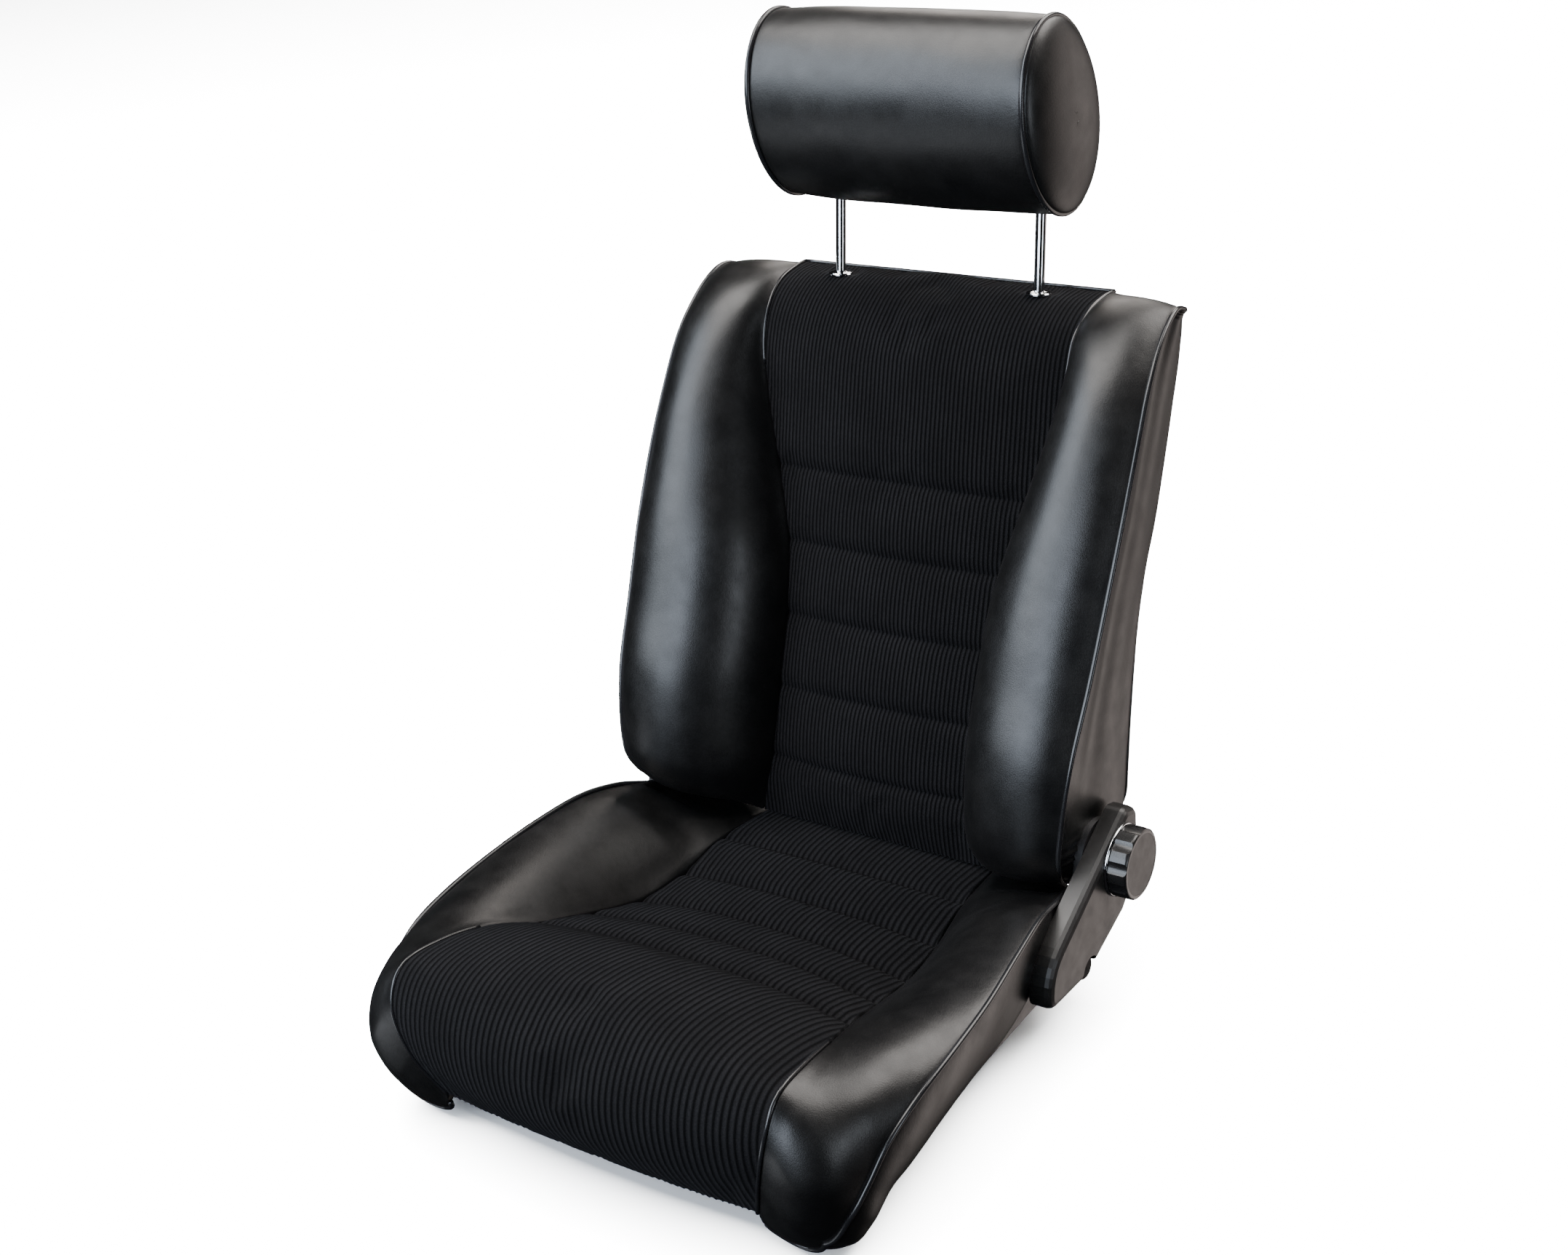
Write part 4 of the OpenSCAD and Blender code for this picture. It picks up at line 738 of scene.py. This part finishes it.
# Bolster of the backrest: over the front, back along the side panel, then inside it
def backBolsterRing(s):
    a, b, e, v, turn, swell = [along(backTables[name], s) for name in
                               ("seam", "outer", "edge", "under", "turn", "swell")]
    a = a + np.array([backInsert["gap"], 0, 0])
    out = leanForward(turn[:, 0]) * swell * backBolster["swell"]
    inner = mix(a, np.stack([a[:, 0], b[:, 1], b[:, 2]], -1), backBolster["innerReach"])
    inner[:, 0] += (b[:, 0] - a[:, 0]) * backBolster["innerSpread"]
    inner = inner + out
    outer = b + out
    outer[:, 0] -= (b[:, 0] - a[:, 0]) * backBolster["outerInset"]
    upwards = unit(np.gradient(b, axis=0))
    cols = []
    for t in backTopSteps:
        step = bezier(a, inner, outer, b, min(1, t + 0.01)) \
            - bezier(a, inner, outer, b, max(0, t - 0.01))
        inward = unit(np.cross(step, upwards))
        cols.append(bezier(a, inner, outer, b, t)
                    + inward * drawnIn(backBolster["sink"], t, 0.02, 0.02))
    drawn = np.clip((s - 1.8) / 1.4, 0, 1) * np.clip((11.7 - s) / 1.2, 0, 1)
    for t in backSideSteps:
        # full at its ends, drawn in along a crease beside the seam between them
        valley = math.exp(-((t - backBolster["valleyAt"]) / backBolster["valleyWidth"]) ** 2)
        bow = mix(backBolster["belly"] * 4 * t * (1 - t),
                  backBolster["fill"] * math.sin(math.pi * t) - backBolster["valley"] * valley,
                  drawn)
        sink = drawnIn(backBolster["sink"], t, 0.03)
        cols.append(mix(b, e, t) + np.array([1.0, 0, 0]) * (bow - sink)[:, None])
    cols.append(np.stack([e[:, 0] - 8, np.maximum(e[:, 1] - 1, v[:, 0] + 1),
                          np.maximum(np.minimum(e[:, 2], v[:, 1]), -60)], -1))
    cols.append(np.stack([e[:, 0] - 9, v[:, 0], v[:, 1]], -1))
    cols.append(np.stack([mix(e[:, 0] - 9, a[:, 0], 0.5), v[:, 0], v[:, 1]], -1))
    cols.append(np.stack([a[:, 0], v[:, 0], v[:, 1]], -1))
    cols.append(mix(a, cols[-1], 0.5))
    cols.append(cols[0])
    return backToSeat(withinSweep(np.stack(cols, 1)))


# rows are closer together where the side panel folds
backBolsterRows = np.unique(np.round(np.r_[
    np.arange(0, 11.95, backBolster["rows"]), np.arange(0.9, 2.3, 0.024),
    np.arange(10.2, 11.6, 0.03), 12.0], 3))
backBolsterRows = backBolsterRows[np.r_[True, np.diff(backBolsterRows) > 0.011]]
# station, width and depth of each fold
backFolds = [(1.42, 0.07, 1.5), (1.62, 0.08, 1.7), (1.85, 0.08, 1.1), (2.05, 0.07, 0.6),
             (10.75, 0.09, 1.2), (11.05, 0.09, 1.3)]


# Folds of the side panel that run back from the outer seam and fade out, by row and column
def panelFolds(rows, columns):
    reach = np.arange(columns) / 4.5
    out = np.zeros((len(rows), columns))
    for station, width, depth in backFolds:
        d = (rows[:, None] - station - 0.10 * reach[None, :]) / width
        out += depth * (np.exp(-d * d) - 0.6 * np.exp(-(d - 1.5) ** 2)) \
            * np.exp(-((reach - 0.7) / 0.9) ** 2)[None, :]
    return out


for side, tag in bothSides:
    ring = backBolsterRing(backBolsterRows)
    bumps = unevenness(ring, backBolster["unevenSize"], backBolster["uneven"], 9 + side)
    bumps[:, 27:40] -= panelFolds(backBolsterRows, 13)  # the side panel's columns
    shape = bolsterShape(ring, bumps, len(backTopSteps), side < 0)
    piece = softened(keepPiece("backBolsterCover" + tag, shape, "backrest", finishes["vinyl"]))
    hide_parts("back_bolster_" + tag.lower())
print("backrest bolsters made")

# Rear panel: a thin upholstered shell, crowned a little
backPanel = {"halfWidth": 236, "corner": 26, "taper": 4, "thick": 3, "crown": 7}


def panelRing(rows):
    p = along(backTables["panel"], rows)
    across = np.linspace(-1, 1, 41)
    cols = []
    high = rows[-1]
    corner = np.minimum(np.clip(rows / 0.9, 0, 1), np.clip((high - rows) / 1.1, 0, 1))
    half = backPanel["halfWidth"] - backPanel["corner"] * (1 - np.sqrt(1 - (1 - corner) ** 2)) \
        - backPanel["taper"] * rows / high
    bow = np.sqrt(np.clip(rows / high * (1 - rows / high) * 4, 0, 1))
    for u in across:
        lift = backPanel["crown"] * bow * (1 - abs(u) ** 3)
        cols.append(np.stack([u * half, p[:, 0] + lift, p[:, 1]], -1))
    for u in across[::-1]:
        cols.append(np.stack([u * half, p[:, 0] - backPanel["thick"], p[:, 1]], -1))
    cols.append(cols[0])
    return backToSeat(np.stack(cols, 1))


shape = gridShape(panelRing(np.linspace(0, 11, 67)))
closeRims(shape)
piece = keepPiece("backPanelCover", shape, "backrest", finishes["vinyl"])
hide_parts("back_panel")
print("rear panel made")

headrest = {"centre": (342, 767), "half": 139, "depth": 133, "height": 174, "shear": -0.14,
            "crown": 3, "sink": 4.5, "sinkReach": 0.012, "uneven": 1.0, "unevenSize": 55,
            "capCrown": 17, "capSink": 2.2, "capSquare": 0.9, "capGap": 0.3}


# The headrest's side outline (y, z), an upright oval that leans
def headOutline(angle, depth, height):
    dy, dz = depth / 2 * np.cos(angle), height / 2 * np.sin(angle)
    return headrest["centre"][0] + dy + headrest["shear"] * dz, headrest["centre"][1] + dz


angles = np.linspace(0, 2 * np.pi, 97)
barrelRows = np.r_[-1, -0.99, -0.975, np.linspace(-0.94, 0.94, 33), 0.975, 0.99, 1]
ring = []
for u in barrelRows:
    grow = 2 * headrest["crown"] * (1 - abs(u) ** 4) \
        - headrest["sink"] * math.exp(-(1 - abs(u)) / headrest["sinkReach"])
    y, z = headOutline(angles, headrest["depth"] + grow, headrest["height"] + grow)
    ring.append(np.stack([np.full_like(y, u * headrest["half"]), y, z], -1))
ring = np.array(ring)
bumps = unevenness(ring, headrest["unevenSize"], headrest["uneven"], 21)
bumps[:, -1] = bumps[:, 0]
toSeam = ((1 - np.abs(barrelRows)) / 0.1)[:, None]
ring = ring + sheetNormals(ring, -1) * (bumps * np.clip(toSeam, 0, 1))[..., None]
ring[:, -1] = ring[:, 0]
near = np.repeat(np.exp(-toSeam), len(angles), 1)
shape = gridShape(ring, near)
closeRims(shape)
piece = softened(keepPiece("headrestBarrel", shape, "headrest", finishes["vinyl"]))
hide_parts("headrest_cushion")

for side, tag in bothSides:
    ring = []
    for t in np.r_[0, 1.5, 4, np.linspace(8, 88, 18)]:  # degrees up the cap's dome
        k = math.radians(t)
        sink = headrest["capSink"] * math.exp(-t / 3)
        narrow = math.cos(k) ** headrest["capSquare"]
        y, z = headOutline(angles, (headrest["depth"] - 2 * sink) * narrow,
                           (headrest["height"] - 2 * sink) * narrow)
        x = headrest["half"] + headrest["capGap"] + headrest["capCrown"] * math.sin(k) \
            - sink * 0.2
        ring.append(np.stack([np.full_like(y, x), y, z], -1))
    ring = np.array(ring)
    ring[:, -1] = ring[:, 0]
    near = np.repeat(np.exp(-np.arange(len(ring)) / 4)[:, None], len(angles), 1)
    shape = gridShape(ring, near, side < 0)
    closeRims(shape)
    piece = softened(keepPiece("headrestCap" + tag, shape, "headrest", finishes["vinyl"]))
    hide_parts("headrest_cap_" + tag.lower())
print("headrest made")

# Polished ring behind the knob, with eased edges
knobBase = {"face": 268.1, "inner": 30.2, "outer": 33.8, "thick": 2.1, "ease": 0.4,
            "backEase": 0.3}

shape = bmesh.new()
front = knobBase["face"] + knobBase["thick"]
profile = [(knobBase["face"], knobBase["inner"]),
           (knobBase["face"], knobBase["outer"] - knobBase["backEase"]),
           (knobBase["face"] + knobBase["ease"], knobBase["outer"]),
           (front, knobBase["outer"] - knobBase["ease"]), (front, knobBase["inner"])]
start = [shape.verts.new(Vector((x, backAxis[0], backAxis[1] + d)) * toMetres)
         for x, d in profile]
edges = [shape.edges.new((a, b)) for a, b in zip(start, start[1:] + start[:1])]
bmesh.ops.spin(shape, geom=start + edges, cent=Vector((0, *backAxis)) * toMetres,
               axis=(1, 0, 0), angle=2 * math.pi, steps=72, use_merge=True)
keepPiece("knobBaseRing", shape, "base", finishes["chrome"])
print("knob base ring made")

# each run's first station, and the station and reach over which it comes out of its seam
piping = {"radius": 2.5, "thin": 1.8, "proud": 0.8, "sunk": -2.3, "seatFrom": 0.3,
          "seatRises": (0.7, 0.5), "backRises": (1.2, 0.6), "backInnerFrom": 7.6,
          "seatInnerFrom": 6.2, "topHalf": 166, "topPlace": (80.0, 491.5)}


# Piping stands proud of its seam, and sinks into it where seat and backrest pass each other
def proudAt(s, start, reach):
    return mix(piping["sunk"], piping["proud"], np.clip((s - start) / reach, 0, 1))[:, None]


# Away from the middle of a bolster, at its outer seam b
def outwards(b, tables, other, s):
    return unit(2 * b - along(tables["seam"], s) - along(tables[other], s))


for side, tag in bothSides:
    flip = np.array([side, 1, 1])
    s = np.linspace(piping["seatFrom"], 11, 160)
    b = seatOuter(s)
    proud = proudAt(s, *piping["seatRises"])
    line = evenly(b + proud * outwards(b, seatTables, "skirt", s), 4)
    pipe("seatPiping" + tag, line * flip, piping["radius"], "base")
    s = np.linspace(0, 12, 180)
    b = along(backTables["outer"], s)
    proud = proudAt(s, *piping["backRises"])
    line = evenly(backToSeat(b + proud * outwards(b, backTables, "edge", s)), 5)
    pipe("backPiping" + tag, line * flip, piping["radius"], "backrest")
    # along the inserts, only where the seam shows
    s = np.linspace(piping["backInnerFrom"], 12, 60)
    line = evenly(backToSeat(along(backTables["seam"], s) + np.array([0.2, -0.6, 0.4])), 5)
    pipe("backInnerPiping" + tag, line * flip, piping["thin"], "backrest")
    s = np.linspace(piping["seatInnerFrom"], 11, 80)
    line = evenly(along(seatTables["seam"], s) + np.array([0.2, 0, 0])
                  + seatOutward(s) * 0.2, 5)
    pipe("seatInnerPiping" + tag, line * flip, piping["thin"], "base")
    y, z = headOutline(angles[:-1], headrest["depth"], headrest["height"])
    line = np.stack([np.full_like(y, headrest["half"]), y, z], -1)
    pipe("headrestPiping" + tag, line * flip, piping["radius"], "headrest", closed=True)
topLine = [backToSeat(np.array([x, *piping["topPlace"]]))
           for x in np.linspace(-piping["topHalf"], piping["topHalf"], 40)]
pipe("topRearPiping", topLine, piping["thin"], "backrest")
print("piping made")

studio = {"floor": (0.92, 0.92, 0.92, 1), "rough": 0.9, "half": 14, "drop": 0.0005,
          "backdrop": 13.5, "backdropGlow": 30.0, "dim": (0.010, 0.010, 0.011, 1),
          "warm": (1.9, 1.68, 1.58, 1), "low": (0.41, 0.71, -0.57),
          "level": (0.45, 0.88, -0.14), "levelShare": 0.95}


# A stage piece that shows pale to the camera and throws no light on the seat
def stagePiece(name, shape, glow):
    mesh = bpy.data.meshes.new(name)
    shape.to_mesh(mesh)
    shape.free()
    piece = bpy.data.objects.new(name, mesh)
    scene.collection.objects.link(piece)
    made, _, shader, _ = newFinish(name + "Finish")
    shader.inputs["Base Color"].default_value = studio["floor"]
    shader.inputs["Roughness"].default_value = studio["rough"]
    shader.inputs["Specular IOR Level"].default_value = 0.0
    shader.inputs["Emission Color"].default_value = (1, 1, 1, 1)
    shader.inputs["Emission Strength"].default_value = glow
    mesh.materials.append(made)
    piece.visible_glossy = piece.visible_diffuse = False
    piece.visible_transmission = piece.visible_shadow = False
    return piece


shape = bmesh.new()
bmesh.ops.create_grid(shape, x_segments=1, y_segments=1, size=studio["half"])
bmesh.ops.translate(shape, verts=shape.verts, vec=(0, 0, -studio["drop"]))
floorObject = stagePiece("studioFloor", shape, 0.0)
shape = bmesh.new()
bmesh.ops.create_uvsphere(shape, u_segments=48, v_segments=24, radius=studio["backdrop"])
bmesh.ops.reverse_faces(shape, faces=shape.faces)
stagePiece("studioBackdrop", shape, studio["backdropGlow"])

# the room: warm from behind, low down and nearly level, and dark elsewhere
world = bpy.data.worlds.new("studioWorld")
world.use_nodes = True
way = Wire(world.node_tree).node("ShaderNodeTexCoord", {}, {}, output=0)
low = way.node("ShaderNodeVectorMath", {"operation": "DOT_PRODUCT"},
               {0: way, 1: studio["low"]}, output=1).limited(0.93, 1.0)
level = way.node("ShaderNodeVectorMath", {"operation": "DOT_PRODUCT"},
                 {0: way, 1: studio["level"]}, output=1).limited(0.92, 1.0)
behind = low.maths("MAXIMUM", low, level * studio["levelShare"])
shade = behind.between(studio["dim"], studio["warm"])
world.node_tree.links.new(shade.socket, world.node_tree.nodes["Background"].inputs["Color"])
scene.world = world


# A soft box: azimuth from straight ahead towards +X, elevation and distance from the seat
def softLight(name, azimuth, elevation, distance, size, glow, tone, aim=(0, 0.05, 0.40)):
    light = bpy.data.lights.new(name, "AREA")
    light.shape = "RECTANGLE"
    light.size, light.size_y = size
    light.energy = glow * math.pi * size[0] * size[1]
    light.color = tone
    holder = bpy.data.objects.new(name, light)
    scene.collection.objects.link(holder)
    a, e = math.radians(azimuth), math.radians(elevation)
    way = Vector((math.sin(a) * math.cos(e), -math.cos(a) * math.cos(e), math.sin(e)))
    holder.location = Vector(aim) + way * distance
    holder.rotation_euler = (-way).to_track_quat("-Z", "Y").to_euler()
    holder.visible_camera = False
    return holder


# name, azimuth, elevation, distance, size, glow and colour
softBoxes = [("frontWindow", -2, 18, 3.0, (2.2, 1.7), 8.8, (0.78, 0.87, 1.0)),
             ("leftWindow", -48, 30, 3.0, (2.3, 2.2), 8.3, (0.82, 0.90, 1.0)),
             ("frontBounce", -38, -28, 3.0, (2.0, 0.9), 2.2, (0.90, 0.94, 1.0)),
             ("ceiling", -60, 74, 2.4, (2.0, 1.8), 9.0, (1.0, 0.97, 0.94)),
             ("rearGlow", 148, 48, 3.0, (2.6, 2.1), 8.5, (1.0, 0.95, 0.91)),
             ("rearSide", -158, 30, 3.0, (0.9, 1.2), 5.0, (1.0, 0.93, 0.87)),
             ("sideStrip", 80, 2, 2.4, (0.5, 0.9), 7.5, (0.86, 0.92, 1.0))]
for softBox in softBoxes:
    softLight(*softBox)
# a wide light for the floor alone
onlyFloor = bpy.data.collections.new("floorOnly")
onlyFloor.objects.link(floorObject)
floorLight = softLight("floorLight", 0, 90, 6, (9, 9), 70, (1, 1, 1), aim=(0, 0, 0))
floorLight.light_linking.receiver_collection = onlyFloor

# place in metres, its three directions, and focal length as a share of the picture's width
camera = {"place": (1.01569, -1.33293, 1.18852), "right": (0.82857883, 0.55314791, -0.08651313),
          "up": (-0.17202304, 0.39857467, 0.90085865),
          "ahead": (-0.53279002, 0.73155015, -0.42540471), "focal": 2998 / 2156, "sensor": 36}
lens = bpy.data.cameras.new("studioCamera")
lens.sensor_width = camera["sensor"]
lens.lens = camera["focal"] * camera["sensor"]
lens.clip_end = 100
cameraObject = bpy.data.objects.new("studioCamera", lens)
scene.collection.objects.link(cameraObject)
turn = Matrix((camera["right"], camera["up"], [-v for v in camera["ahead"]])).transposed()
cameraObject.matrix_world = Matrix.Translation(camera["place"]) @ turn.to_4x4()
scene.camera = cameraObject
print("studio ready")
